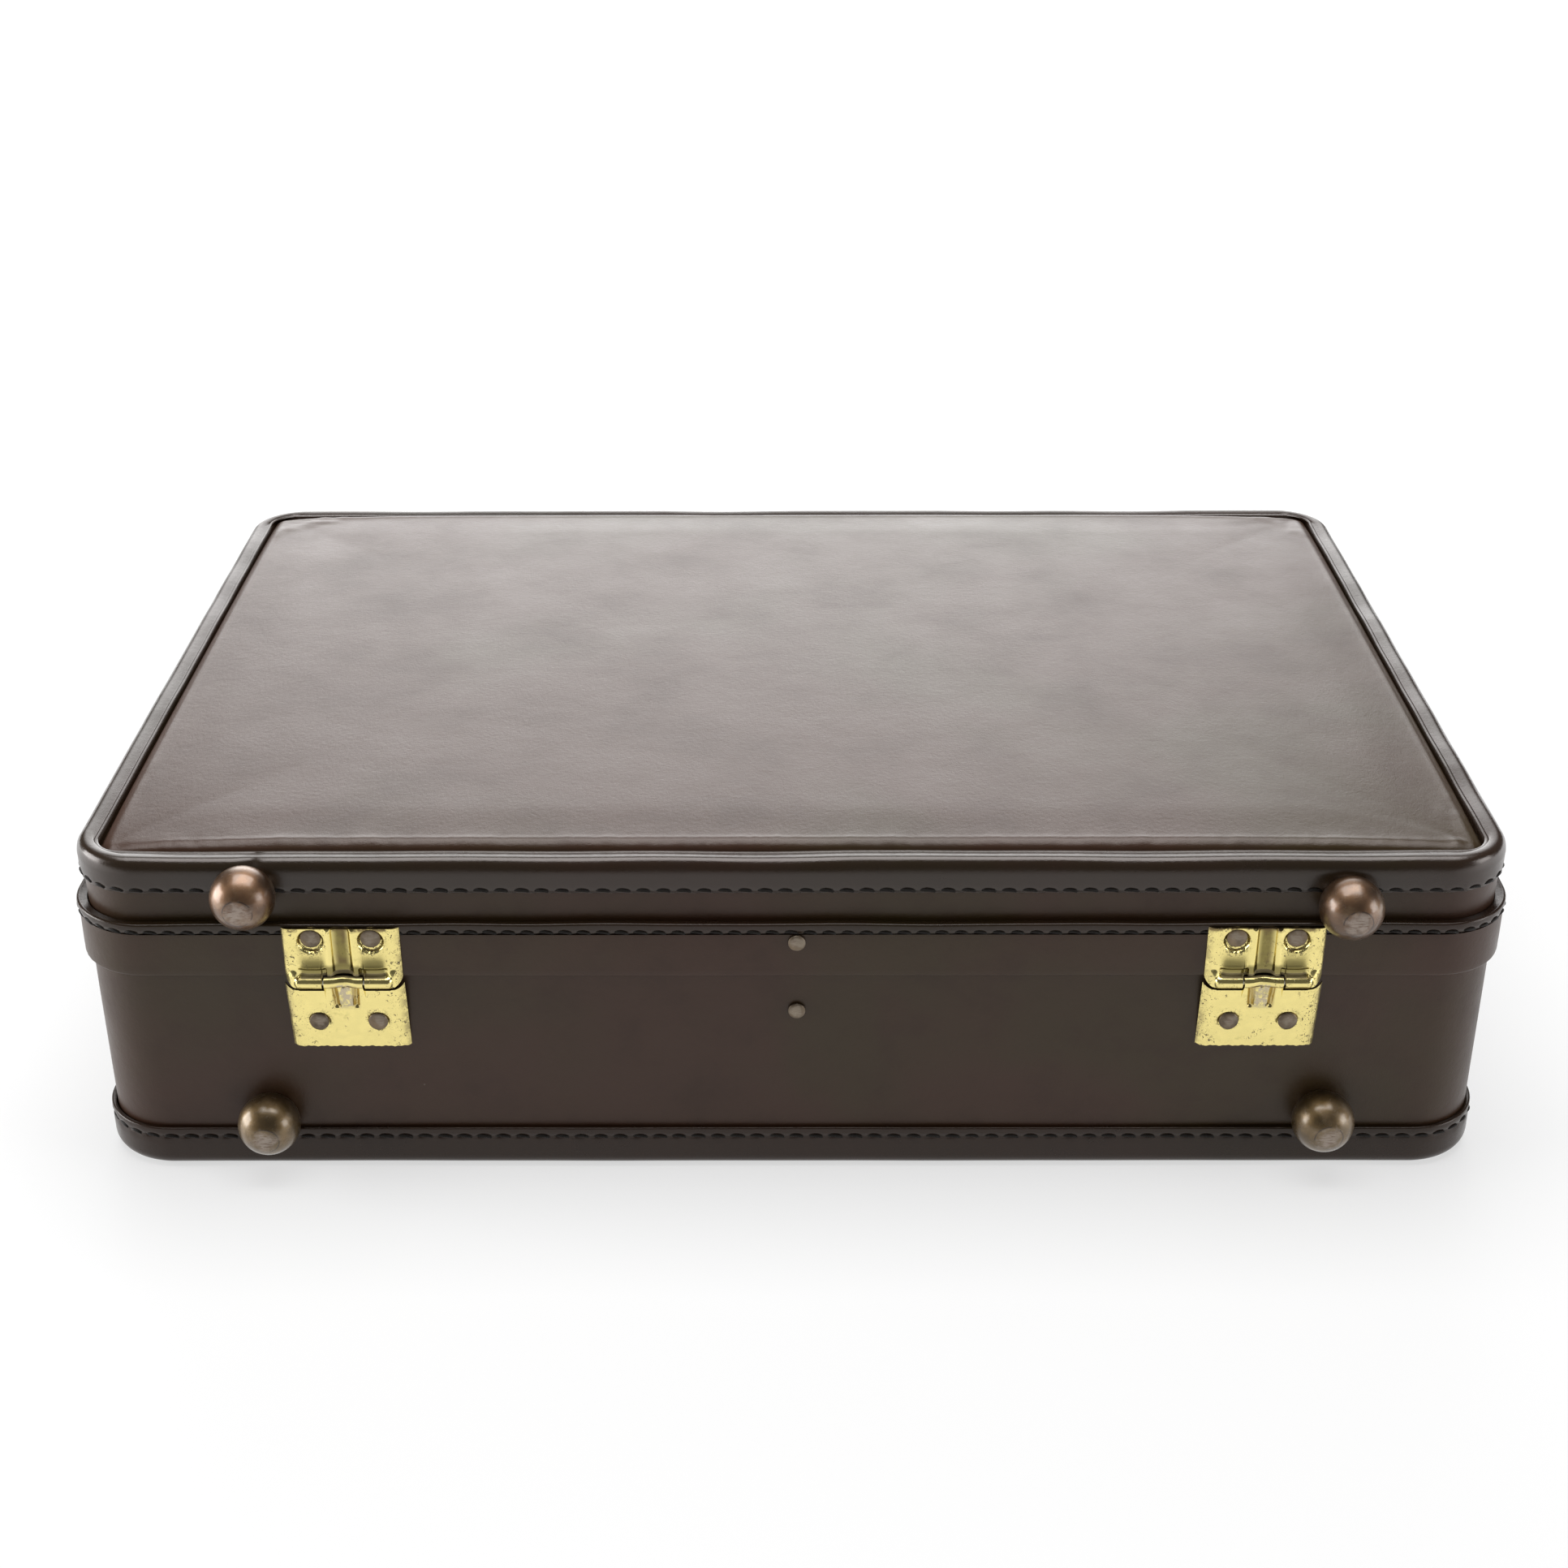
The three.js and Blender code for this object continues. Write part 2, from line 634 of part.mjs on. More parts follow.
// The thumb button and the bolt behind the cover, one sliding piece.
function slideBolt(centre, travelSide) {
  const { front, wall, buttonZ } = LOCK;
  const boltFront = front + wall + GAP;
  const depth = frontSpan(boltFront, boltFront + 1.2);
  const bolt = block(around(centre, BOLT.halfWidth), depth, [BOLT.footZ, BOLT.shoulderZ]);
  const nose = [centre + travelSide * (HASP.tongueHalf + 0.6), centre + travelSide * BOLT.halfWidth];
  const arm = block([Math.min(...nose), Math.max(...nose)], depth, [BOLT.shoulderZ - 1, BOLT.noseZ]);
  const stem = block(around(centre, 2.5), frontSpan(front - 1, boltFront + 0.6), around(buttonZ, 2));
  const cap = block(around(centre, 5.5), frontSpan(front - 2.2, front - GAP), around(buttonZ, 3.8));
  return union(bolt, arm, stem, cap);
}

class CoilLine extends THREE.Curve {
  constructor(start, length, radius, turns) {
    super();
    Object.assign(this, { start, length, radius, turns });
  }
  getPoint(t, target = new THREE.Vector3()) {
    const angle = 2 * Math.PI * this.turns * t;
    const [x, y, z] = this.start;
    const [dy, dz] = [this.radius * Math.cos(angle), this.radius * Math.sin(angle)];
    return target.set(x + this.length * t, y + dy, z + dz);
  }
}

function polygon(radius, sides) {
  const shape = new THREE.Shape();
  for (let i = 0; i < sides; i++) {
    const angle = (2 * Math.PI * i) / sides;
    shape[i ? "lineTo" : "moveTo"](radius * Math.cos(angle), radius * Math.sin(angle));
  }
  return shape;
}

function addLock(side, centre) {
  const travelSide = Math.sign(centre);
  const { halfWidth, footZ, topZ, backplateFront, backplateBack, wall, front } = LOCK;
  const depth = frontSpan(backplateFront, backplateBack);
  const backplate = block(around(centre, halfWidth), depth, [footZ, topZ]);
  add(`lock_${side}_backplate`, backplate, materials.steel);
  add(`lock_${side}_cover`, lockCover(centre, travelSide), materials.brass);
  add(`lock_${side}_slide_button`, slideBolt(centre, travelSide), materials.brass);

  const play = 0.7;
  const length = halfWidth - wall - BOLT.halfWidth - 2 * play;
  const start = BOLT.halfWidth + play;
  const startX = travelSide > 0 ? centre + start : centre - start - length;
  const seat = [startX, frontY(front + wall + SPRING.radius + SPRING.wireRadius + 0.25), SPRING.z];
  const line = new CoilLine(seat, length, SPRING.radius, SPRING.turns);
  const spring = new THREE.ExtrudeGeometry(polygon(SPRING.wireRadius, 5), { steps: 40, extrudePath: line });
  add(`lock_${side}_bolt_spring`, solidOf(spring), materials.steel);
}

function addHasp(side, centre) {
  const { axisInset, axisZ, knuckleRadius, boreRadius, pinRadius, halfWidth, footZ, front, back } = HASP;
  const { middleHalf, bracketHalf, bracketFootZ, tongueHalf, tongueFootZ, tongueTopZ, tongueEnd } = HASP;
  const axisY = frontY(axisInset);
  const bore = rodAlongX(centre - 20, centre + 20, axisY, axisZ, boreRadius, 12);
  const knuckle = (x0, x1) => rodAlongX(x0, x1, axisY, axisZ, knuckleRadius);
  const plateBack = -HEM_PROUD - GAP;
  const plateFront = plateBack - 0.9;
  const armHeight = [axisZ - 0.9, bracketFootZ + 0.5];
  const arms = [
    [centre - halfWidth, centre - middleHalf - GAP],
    [centre + middleHalf + GAP, centre + halfWidth],
  ];
  const bracket = less(
    union(
      block(around(centre, bracketHalf), frontSpan(plateFront, plateBack), [bracketFootZ, HEM_TOP_Z - 0.7]),
      ...arms.map(([a, b]) => knuckle(a, b)),
      ...arms.map((span) => block(span, frontSpan(axisInset + 1, plateBack), armHeight)),
    ),
    bore,
  );
  add(`hasp_${side}_bracket`, bracket, materials.brass);
  const pin = rodAlongX(centre - halfWidth, centre + halfWidth, axisY, axisZ, pinRadius, 12);
  add(`hasp_${side}_pin`, pin, materials.steel);

  const hasp = less(
    union(
      knuckle(centre - middleHalf, centre + middleHalf),
      block(around(centre, middleHalf), frontSpan(front, back), [76, axisZ]),
      block(around(centre, halfWidth), frontSpan(front, back), [footZ, 77.8]),
      block(around(centre, tongueHalf), frontSpan(back - 0.5, tongueEnd), [tongueFootZ, tongueTopZ]),
      rodAlongX(centre - halfWidth, centre + halfWidth, frontY(front), footZ + 1, 1, 10),
    ),
    bore,
  );
  add(`hasp_${side}`, hasp, materials.brass);
}

// ---------- handle ----------
function addHandle() {
  const { postX, axisInset, axisZ, wireRadius, boreRadius, knuckleRadius, postHalf } = HANDLE;
  const { ringHalf, ringDrop, gripInset, gripHalfDepth, gripZ, gripHalfHeight } = HANDLE;
  const axisY = frontY(axisInset);
  const barFootZ = axisZ - ringDrop;
  const barTopZ = barFootZ + 3;
  const places = { left: -postX, right: postX };
  for (const [side, x] of Object.entries(places)) {
    const post = less(
      union(
        block(around(x, postHalf), frontSpan(-1.5, -0.3), [axisZ - 8, axisZ + 13]),
        rodAlongX(x - postHalf, x + postHalf, axisY, axisZ, knuckleRadius),
        block(around(x, postHalf), frontSpan(axisInset, -1), [axisZ + 0.8, axisZ + 3.2]),
      ),
      rodAlongX(x - 20, x + 20, axisY, axisZ, boreRadius, 12),
    );
    add(`handle_post_${side}`, post, materials.brass);

    const legHeight = [barFootZ, axisZ + wireRadius];
    const loop = union(
      rodAlongX(x - ringHalf, x + ringHalf, axisY, axisZ, wireRadius, 12),
      block([x - ringHalf - 1.2, x - ringHalf + 1.6], around(axisY, wireRadius), legHeight),
      block([x + ringHalf - 1.6, x + ringHalf + 1.2], around(axisY, wireRadius), legHeight),
      block(around(x, ringHalf + 1.2), around(axisY, wireRadius), [barFootZ, barTopZ]),
    );
    add(`handle_ring_${side}`, loop, materials.brass);
  }

  // The grip is a rounded bar whose two ends rise to wrap the lower bars of the rings.
  const endX = postX + ringHalf - 2;
  const top = gripZ + gripHalfHeight;
  const foot = gripZ - gripHalfHeight;
  const shape = new THREE.Shape();
  shape.moveTo(-endX, 27);
  shape.quadraticCurveTo(-endX, foot + 1, -endX + 18, foot);
  shape.lineTo(endX - 18, foot);
  shape.quadraticCurveTo(endX, foot + 1, endX, 27);
  shape.lineTo(endX, 39);
  shape.lineTo(postX - ringHalf + 2, 39);
  shape.quadraticCurveTo(postX - ringHalf - 6, top - 2, postX - ringHalf - 20, top - 4);
  shape.lineTo(-postX + ringHalf + 20, top - 4);
  shape.quadraticCurveTo(-postX + ringHalf + 6, top - 2, -postX + ringHalf - 2, 39);
  shape.lineTo(-endX, 39);
  const bevel = 2.5;
  const geometry = new THREE.ExtrudeGeometry(shape, {
    depth: 2 * (gripHalfDepth - bevel),
    bevelThickness: bevel,
    bevelSize: bevel,
    bevelOffset: -bevel,
    bevelSegments: 2,
    curveSegments: 4,
  });
  // The shape's x, y and depth become the case's X, Z and -Y.
  const turned = new THREE.Matrix4().makeBasis(AXIS_X, AXIS_Z, AXIS_Y.clone().negate());
  geometry.applyMatrix4(turned.setPosition(0, frontY(gripInset) + gripHalfDepth - bevel, 0));
  const slotDepth = around(axisY, wireRadius + GAP);
  const barHoles = Object.values(places).map((x) =>
    block(around(x, ringHalf + 1.6), slotDepth, [barFootZ - GAP, barTopZ + GAP]),
  );
  const legXs = Object.values(places).flatMap((x) => [x - ringHalf + 0.2, x + ringHalf - 0.2]);
  const legSlots = legXs.map((x) => block(around(x, 1.8), slotDepth, [barFootZ - GAP, axisZ]));
  add("handle_grip", less(solidOf(geometry), ...barHoles, ...legSlots), materials.bindingLeather);
}

// ---------- chip racks and card tray ----------
function addRacks() {
  const { depthY, halfWidth, topZ, footZ, wall, pitch, troughDepth } = RACK;
  const middleY = (depthY[0] + depthY[1]) / 2;
  const chipAxisZ = topZ - troughDepth + CHIP_RADIUS;
  for (const [side, sign] of [["left", -1], ["right", 1]]) {
    const centre = sign * (halfWidth + GAP);
    const body = block(around(centre, halfWidth), depthY, [footZ, topZ]);
    const under = block(
      around(centre, halfWidth - wall),
      [depthY[0] + wall, depthY[1] - wall],
      [footZ - 1, topZ - troughDepth - 4],
    );
    const troughs = [];
    for (let i = 0; i < CHANNELS; i++) {
      const x = centre + (i - (CHANNELS - 1) / 2) * pitch;
      const [y0, y1] = around(middleY, CHANNEL_HALF_LENGTH);
      troughs.push(rodAlongY(x, chipAxisZ, y0, y1, CHIP_RADIUS, 32));
    }
    add(`chip_rack_${side}`, less(body, under, ...troughs), materials.walnut);
  }
}

function addCardTray() {
  const { depthY, halfWidth, topZ, footZ, wellY, wellFloorZ, cardHalf, wallHalf, outerWall } = TRAY;
  const upright = { depth: topZ - footZ, bevelEnabled: false };
  const body = new THREE.ExtrudeGeometry(trayOutline(halfWidth, depthY), upright).translate(0, 0, footZ);
  const cardEnd = wallHalf + 2 * cardHalf;
  const wells = [-1, 1].flatMap((sign) => {
    const card = [sign * wallHalf, sign * cardEnd];
    const extra = [sign * (cardEnd + 2 * wallHalf), sign * (halfWidth - outerWall)];
    const height = [wellFloorZ, topZ + 1];
    return [card, extra].map(([a, b]) => block([Math.min(a, b), Math.max(a, b)], wellY, height));
  });
  const underY = [depthY[0] + 4, depthY[1] - 6];
  const under = block(around(0, halfWidth - 12), underY, [footZ - 1, wellFloorZ - 4]);
  add("card_tray", less(solidOf(body), ...wells, under), materials.walnut);
}

// The tray's plan, with its two front corners rounded to fit the case's corners.
function trayOutline(halfWidth, [y0, y1]) {
  const radius = CORNER_RADIUS - INNER_INSET;
  const shape = new THREE.Shape();
  shape.moveTo(-halfWidth, y0);
  shape.lineTo(halfWidth, y0);
  shape.lineTo(halfWidth, y1 - radius);
  shape.absarc(halfWidth - radius, y1 - radius, radius, 0, Math.PI / 2);
  shape.absarc(-halfWidth + radius, y1 - radius, radius, Math.PI / 2, Math.PI);
  shape.closePath();
  return shape;
}

addBaseShell();
addBottomBinding();
addLidShell();
addRimBinding();
addBand();
for (const [side, centre] of hingeSides) addHinge(side, centre);
addRivets();
addStrap();
addFeet();
for (const [side, centre] of Object.entries(LOCK.centres)) {
  addLock(side, centre);
  addHasp(side, centre);
}
addHandle();
addRacks();
addCardTray();

export default group;
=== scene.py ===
"""Looks of the poker chip case: leather, pressed brass, browned feet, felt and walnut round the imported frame.

Lengths in the shape functions are millimetres in the row frame, and every mesh is scaled to metres when it is made.
The case's plan is a rounded rectangle. A place on a section is [inset, z]: the inset is measured inwards from the
body leather's outer face, so a negative inset stands proud of the case.
"""

import json
import math

import bmesh
import bpy
import numpy as np
from mathutils import Matrix, Vector


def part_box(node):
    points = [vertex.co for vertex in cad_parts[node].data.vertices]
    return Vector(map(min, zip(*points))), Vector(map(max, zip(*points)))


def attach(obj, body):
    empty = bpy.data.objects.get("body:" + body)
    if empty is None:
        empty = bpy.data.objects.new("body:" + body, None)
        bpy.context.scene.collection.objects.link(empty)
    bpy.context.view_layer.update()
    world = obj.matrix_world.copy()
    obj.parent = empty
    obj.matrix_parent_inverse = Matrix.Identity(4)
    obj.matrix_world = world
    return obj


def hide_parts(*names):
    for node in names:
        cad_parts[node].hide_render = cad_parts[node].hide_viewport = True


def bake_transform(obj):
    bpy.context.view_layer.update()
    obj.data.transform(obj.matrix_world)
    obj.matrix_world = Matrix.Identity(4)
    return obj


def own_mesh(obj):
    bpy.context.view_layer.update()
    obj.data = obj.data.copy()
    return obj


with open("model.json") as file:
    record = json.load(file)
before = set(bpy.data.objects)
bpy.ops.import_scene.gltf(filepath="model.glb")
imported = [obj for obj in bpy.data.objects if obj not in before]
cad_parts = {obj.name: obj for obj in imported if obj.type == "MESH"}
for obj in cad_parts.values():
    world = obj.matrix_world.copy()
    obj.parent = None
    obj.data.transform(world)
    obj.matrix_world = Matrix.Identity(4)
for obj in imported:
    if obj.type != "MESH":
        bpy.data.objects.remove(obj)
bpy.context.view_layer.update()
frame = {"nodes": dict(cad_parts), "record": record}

MM = 0.001


# ---------- sizes taken from the frame ----------
def box_mm(node):
    low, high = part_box(node)
    return np.array(low) / MM, np.array(high) / MM


def middle_mm(node):
    low, high = box_mm(node)
    return (low + high) / 2


BODY_HIGH = box_mm("base_side_leather")[1]
HALF_WIDTH, HALF_DEPTH = BODY_HIGH[0], BODY_HIGH[1]
BASE_TOP_Z = BODY_HIGH[2]
CORNER_RADIUS = 22
LEAST_RADIUS = 3
LINING_INSET = HALF_WIDTH - box_mm("base_wall_lining")[1][0]
INNER_INSET = LINING_INSET + 1
FLAP_INSET = INNER_INSET + 0.35
LID_WALL_INSET = HALF_WIDTH - box_mm("lid_side_leather")[1][0]
LID_FOOT_Z = box_mm("lid_side_leather")[0][2]
LID_LEATHER_TOP_Z = box_mm("lid_side_leather")[1][2]
LID_SEAT_Z = LID_LEATHER_TOP_Z + 0.4
RIM_LOW, RIM_HIGH = box_mm("lid_rim_binding")
BAND_LOW, BAND_HIGH = box_mm("lid_band")
HEM_LOW, HEM_HIGH = box_mm("lid_band_hem")
BINDING_HIGH = box_mm("base_bottom_binding")[1]
REAR_Y = -HALF_DEPTH
HINGE_AXIS = middle_mm("hinge_left_pin")
HINGE_OUT = REAR_Y - HINGE_AXIS[1]
HINGE_Z = HINGE_AXIS[2]
HINGE_X = {side: middle_mm(f"hinge_{side}_pin")[0] for side in ("left", "right")}
UPPER_RIVET_Z = middle_mm("hinge_left_upper_rivet_outer")[2]
LOWER_RIVET_Z = middle_mm("hinge_left_lower_rivet_outer")[2]
RIVET_X = (middle_mm("hinge_left_upper_rivet_inner")[0] - middle_mm("hinge_left_upper_rivet_outer")[0]) / 2
RIM_FACE_INSET = HALF_WIDTH - RIM_HIGH[0]
RIM_STITCH_Z = RIM_LOW[2] + 0.75
BAND_FACE_INSET = HALF_WIDTH - BAND_HIGH[0]
HEM_FACE_INSET = HALF_WIDTH - HEM_HIGH[0]
HEM_STITCH_Z = HEM_LOW[2] + 0.35
BINDING_FACE_INSET = HALF_WIDTH - BINDING_HIGH[0]
BINDING_STITCH_Z = BINDING_HIGH[2] - 3.4


# ---------- mesh making ----------
def mesh_object(name, points, faces, material, smooth_angle=40):
    """A mesh object from points in millimetres, shaded smooth up to an angle."""
    mesh = bpy.data.meshes.new(name)
    mesh.from_pydata((np.asarray(points, float) * MM).tolist(), [], [tuple(f) for f in faces])
    mesh.validate()
    mesh.update()
    mesh.shade_smooth()
    if smooth_angle < 180:
        mesh.set_sharp_from_angle(angle=math.radians(smooth_angle))
    piece = bpy.data.objects.new(name, mesh)
    bpy.context.scene.collection.objects.link(piece)
    mesh.materials.append(material)
    return piece


def grid_faces(rows, columns, wrap_rows=False, wrap_columns=False, start=0):
    """Quads between a grid of points stored row by row."""
    i = np.arange(rows if wrap_rows else rows - 1)
    j = np.arange(columns if wrap_columns else columns - 1)
    a, b = np.meshgrid(i, j, indexing="ij")
    a, b = a.ravel(), b.ravel()
    a1, b1 = (a + 1) % rows, (b + 1) % columns
    quads = np.stack([a * columns + b, a * columns + b1, a1 * columns + b1, a1 * columns + b], 1)
    return (quads + start).tolist()


def border_of(rows, columns):
    """The outer points of a grid, in order round it."""
    border = [i * columns for i in range(rows)]
    border += [(rows - 1) * columns + j for j in range(1, columns)]
    border += [i * columns + columns - 1 for i in range(rows - 2, -1, -1)]
    return border + [j for j in range(columns - 2, 0, -1)]


def closed_sheet(front, back, rows, columns):
    """Two grids of points joined at their borders: points and faces."""
    faces = grid_faces(rows, columns) + grid_faces(rows, columns, start=len(front))
    border = border_of(rows, columns)
    for k, a in enumerate(border):
        b = border[(k + 1) % len(border)]
        faces.append([a, b, b + len(front), a + len(front)])
    return np.concatenate([front, back]), faces


def tube(rows):
    """Rings of points joined into a tube that is closed at both ends: points and faces, the ends last."""
    sides = len(rows[0])
    faces = grid_faces(len(rows), sides, wrap_columns=True)
    faces += [list(range(sides)), list(range((len(rows) - 1) * sides, len(rows) * sides))]
    return np.concatenate(rows), faces


def joined(parts):
    """Several (points, faces) joined into one."""
    points, faces, start = [], [], 0
    for part_points, part_faces in parts:
        points.append(np.asarray(part_points, float))
        faces += [[v + start for v in face] for face in part_faces]
        start += len(part_points)
    return np.concatenate(points), faces


def outline(inset, radius=None, along=4.0, corner=12):
    """The case's plan at an inset, anticlockwise from the right rear corner: points and outward normals."""
    if radius is None:
        radius = max(CORNER_RADIUS - inset, LEAST_RADIUS)
    x = HALF_WIDTH - inset - radius
    y = HALF_DEPTH - inset - radius
    count_x = round(2 * HALF_WIDTH / along)
    count_y = round(2 * HALF_DEPTH / along)
    points, normals = [], []
    corners = [(x, -y, -90, count_y), (x, y, 0, count_x), (-x, y, 90, count_y), (-x, -y, 180, count_x)]
    for k, (cx, cy, start, count) in enumerate(corners):
        angles = np.radians(start + np.linspace(0, 90, corner + 1))
        turn = np.stack([np.cos(angles), np.sin(angles)], 1)
        points.append(np.array([cx, cy]) + radius * turn)
        normals.append(turn)
        nx, ny = corners[(k + 1) % 4][:2]
        t = np.linspace(0, 1, count + 1)[1:-1, None]
        end = np.array([cx, cy]) + radius * turn[-1]
        nxt = np.array([nx, ny]) + radius * turn[-1]
        points.append(end * (1 - t) + nxt * t)
        normals.append(np.repeat(turn[-1:], count - 1, 0))
    return np.concatenate(points), np.concatenate(normals)


def around(points):
    """Distance round a closed line of points, from the first, and the whole length."""
    steps = np.linalg.norm(np.roll(points, -1, 0) - points, axis=1)
    return np.concatenate([[0], np.cumsum(steps)[:-1]]), steps.sum()


def ring(section, bend=None, **sampling):
    """A closed section of [inset, z] or [inset, z, corner radius] carried round the case. bend(row, normals) says how
    far each row's points move."""
    rows = []
    for inset, z, *radius in section:
        plan, normals = outline(inset, *radius, **sampling)
        row = np.column_stack([plan, np.full(len(plan), z)])
        rows.append(row + bend(row, normals) if bend else row)
    points = np.concatenate(rows)
    return points, grid_faces(len(rows), len(rows[0]), wrap_rows=True, wrap_columns=True)


def arc(cx, cz, radius_x, radius_z, start, end, count):
    """Points of an elliptical arc in a section, with angles in degrees from the inward direction."""
    angles = np.radians(np.linspace(start, end, count))
    return [[cx + radius_x * math.cos(a), cz + radius_z * math.sin(a)] for a in angles]


def full_turn(count):
    """Angles evenly round a circle."""
    return np.linspace(0, 2 * math.pi, count, endpoint=False)


def smooth(t):
    t = np.clip(t, 0, 1)
    return t * t * (3 - 2 * t)


def squared(values, power):
    """Cosines or sines drawn out towards the corners of a square, by a power below 1."""
    return np.sign(values) * np.abs(values) ** power


def edge_distance(side_x, side_y, corner):
    """Distance to the edge of a rounded rectangle, from those to its straight sides. Also how far out a place in a
    corner is from that corner's centre."""
    reach = np.hypot(np.maximum(corner - side_x, 0), np.maximum(corner - side_y, 0))
    in_corner = (side_x < corner) & (side_y < corner)
    return np.where(in_corner, corner - reach, np.minimum(side_x, side_y)).clip(0), reach


def waves(points, length, seed, count=9):
    """A smooth random field of about unit size, with waves near a length in millimetres."""
    draw = np.random.default_rng(seed)
    total = np.zeros(len(points))
    for _ in range(count):
        direction = draw.normal(size=points.shape[1])
        direction /= np.linalg.norm(direction)
        wave = 2 * math.pi / (length * draw.uniform(0.7, 1.6))
        total += np.sin(points @ direction * wave + draw.uniform(0, 2 * math.pi))
    return total / math.sqrt(count / 2)


def lathe(profile, segments=48):
    """A profile of [radius, out] turned about the outward axis. It starts and ends on the axis."""
    rings = [p for p in profile if p[0] > 1e-6]
    angles = full_turn(segments)
    points = [[0, profile[0][1], 0]]
    for radius, out in rings:
        points += [[radius * math.cos(a), out, radius * math.sin(a)] for a in angles]
    points.append([0, profile[-1][1], 0])
    faces = [[0, 1 + (k + 1) % segments, 1 + k] for k in range(segments)]
    faces += grid_faces(len(rings), segments, wrap_columns=True, start=1)
    last = 1 + (len(rings) - 1) * segments
    end = len(points) - 1
    faces += [[end, last + k, last + (k + 1) % segments] for k in range(segments)]
    return np.array(points), faces


def outwards(piece):
    """Turns a closed piece's faces to point out."""
    shape = bmesh.new()
    shape.from_mesh(piece.data)
    bmesh.ops.recalc_face_normals(shape, faces=shape.faces)
    shape.to_mesh(piece.data)
    shape.free()
    return piece


def place(piece, body, slot, *nodes):
    """Rides a finished piece on its body, and lets it stand for its CAD nodes."""
    outwards(piece)
    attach(piece, body)
    if nodes:
        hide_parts(*nodes)
    return piece


# ---------- materials ----------
BRIGHT = (0.86, 0.73, 0.29)
BROWN = (0.038, 0.0165, 0.0085)
OLIVE = (0.032, 0.0195, 0.0065)
TRIM_BROWN, TRIM_OLIVE = (0.022, 0.0115, 0.0065), (0.018, 0.0115, 0.005)
RIM_BROWN, RIM_OLIVE = (0.02, 0.0105, 0.006), (0.0165, 0.0105, 0.0045)


class Nodes:
    """A node tree being built, with the position that its patterns are laid over."""

    def __init__(self, tree, position):
        self.tree = tree
        self.position = tree.nodes.new("ShaderNodeTexCoord").outputs[position]

    def add(self, kind, settings=None, **inputs):
        node = self.tree.nodes.new(kind)
        for key, value in (settings or {}).items():
            setattr(node, key, value)
        for key, value in inputs.items():
            self.put(node, key.replace("_", " "), value)
        return node

    def put(self, node, socket, value):
        target = node.inputs[int(socket[1:])] if socket.startswith("#") else node.inputs[socket]
        if isinstance(value, bpy.types.NodeSocket):
            self.tree.links.new(value, target)
        else:
            target.default_value = value

    def noise(self, scale, detail=3, roughness=0.5, distortion=0, position=None):
        node = self.add("ShaderNodeTexNoise", Scale=scale, Detail=detail, Roughness=roughness, Distortion=distortion)
        self.put(node, "Vector", position or self.position)
        return node.outputs["Fac"]

    def cells(self, scale, feature="F1"):
        node = self.add("ShaderNodeTexVoronoi", {"feature": feature}, Scale=scale)
        self.put(node, "Vector", self.position)
        return node.outputs["Distance"]

    def stretched(self, x, y, z):
        node = self.add("ShaderNodeMapping")
        self.put(node, "Vector", self.position)
        node.inputs["Scale"].default_value = (x, y, z)
        return node.outputs["Vector"]

    def ranged(self, value, low, high, to_low=0.0, to_high=1.0, easing="SMOOTHSTEP"):
        node = self.add("ShaderNodeMapRange", {"interpolation_type": easing})
        ends = {"From Min": low, "From Max": high, "To Min": to_low, "To Max": to_high}
        for socket, item in {"Value": value, **ends}.items():
            self.put(node, socket, item)
        return node.outputs["Result"]

    def maths(self, operation, a, b=0.0):
        node = self.add("ShaderNodeMath", {"operation": operation})
        self.put(node, "#0", a)
        self.put(node, "#1", b)
        return node.outputs["Value"]

    def product(self, *values):
        total = values[0]
        for value in values[1:]:
            total = self.maths("MULTIPLY", total, value)
        return total

    def mixed(self, factor, a, b):
        node = self.add("ShaderNodeMix", {"data_type": "RGBA"})
        self.put(node, "#0", factor)
        for socket, colour in (("#6", a), ("#7", b)):
            self.put(node, socket, colour if isinstance(colour, bpy.types.NodeSocket) else (*colour, 1.0))
        return node.outputs[2]

    def axis(self, letter):
        """One coordinate of the position: in an object's material, metres in the row frame."""
        split = self.add("ShaderNodeSeparateXYZ")
        self.put(split, "Vector", self.position)
        return split.outputs[letter]

    def distance(self, point, position=None):
        """Metres from a point given in millimetres."""
        node = self.add("ShaderNodeVectorMath", {"operation": "DISTANCE"})
        self.put(node, "#0", position or self.position)
        node.inputs[1].default_value = tuple(c * MM for c in point)
        return node.outputs["Value"]


class Look(Nodes):
    """A material being built from nodes."""

    def __init__(self, name):
        self.material = bpy.data.materials.new(name)
        self.material.use_nodes = True
        super().__init__(self.material.node_tree, "Object")
        self.shader = self.tree.nodes["Principled BSDF"]

    def set(self, socket, value):
        self.put(self.shader, socket, value)

    def bump(self, height, strength, distance, under=None):
        node = self.add("ShaderNodeBump", Height=height, Strength=strength, Distance=distance)
        if under is not None:
            self.put(node, "Normal", under)
        self.set("Normal", node.outputs["Normal"])
        return node.outputs["Normal"]


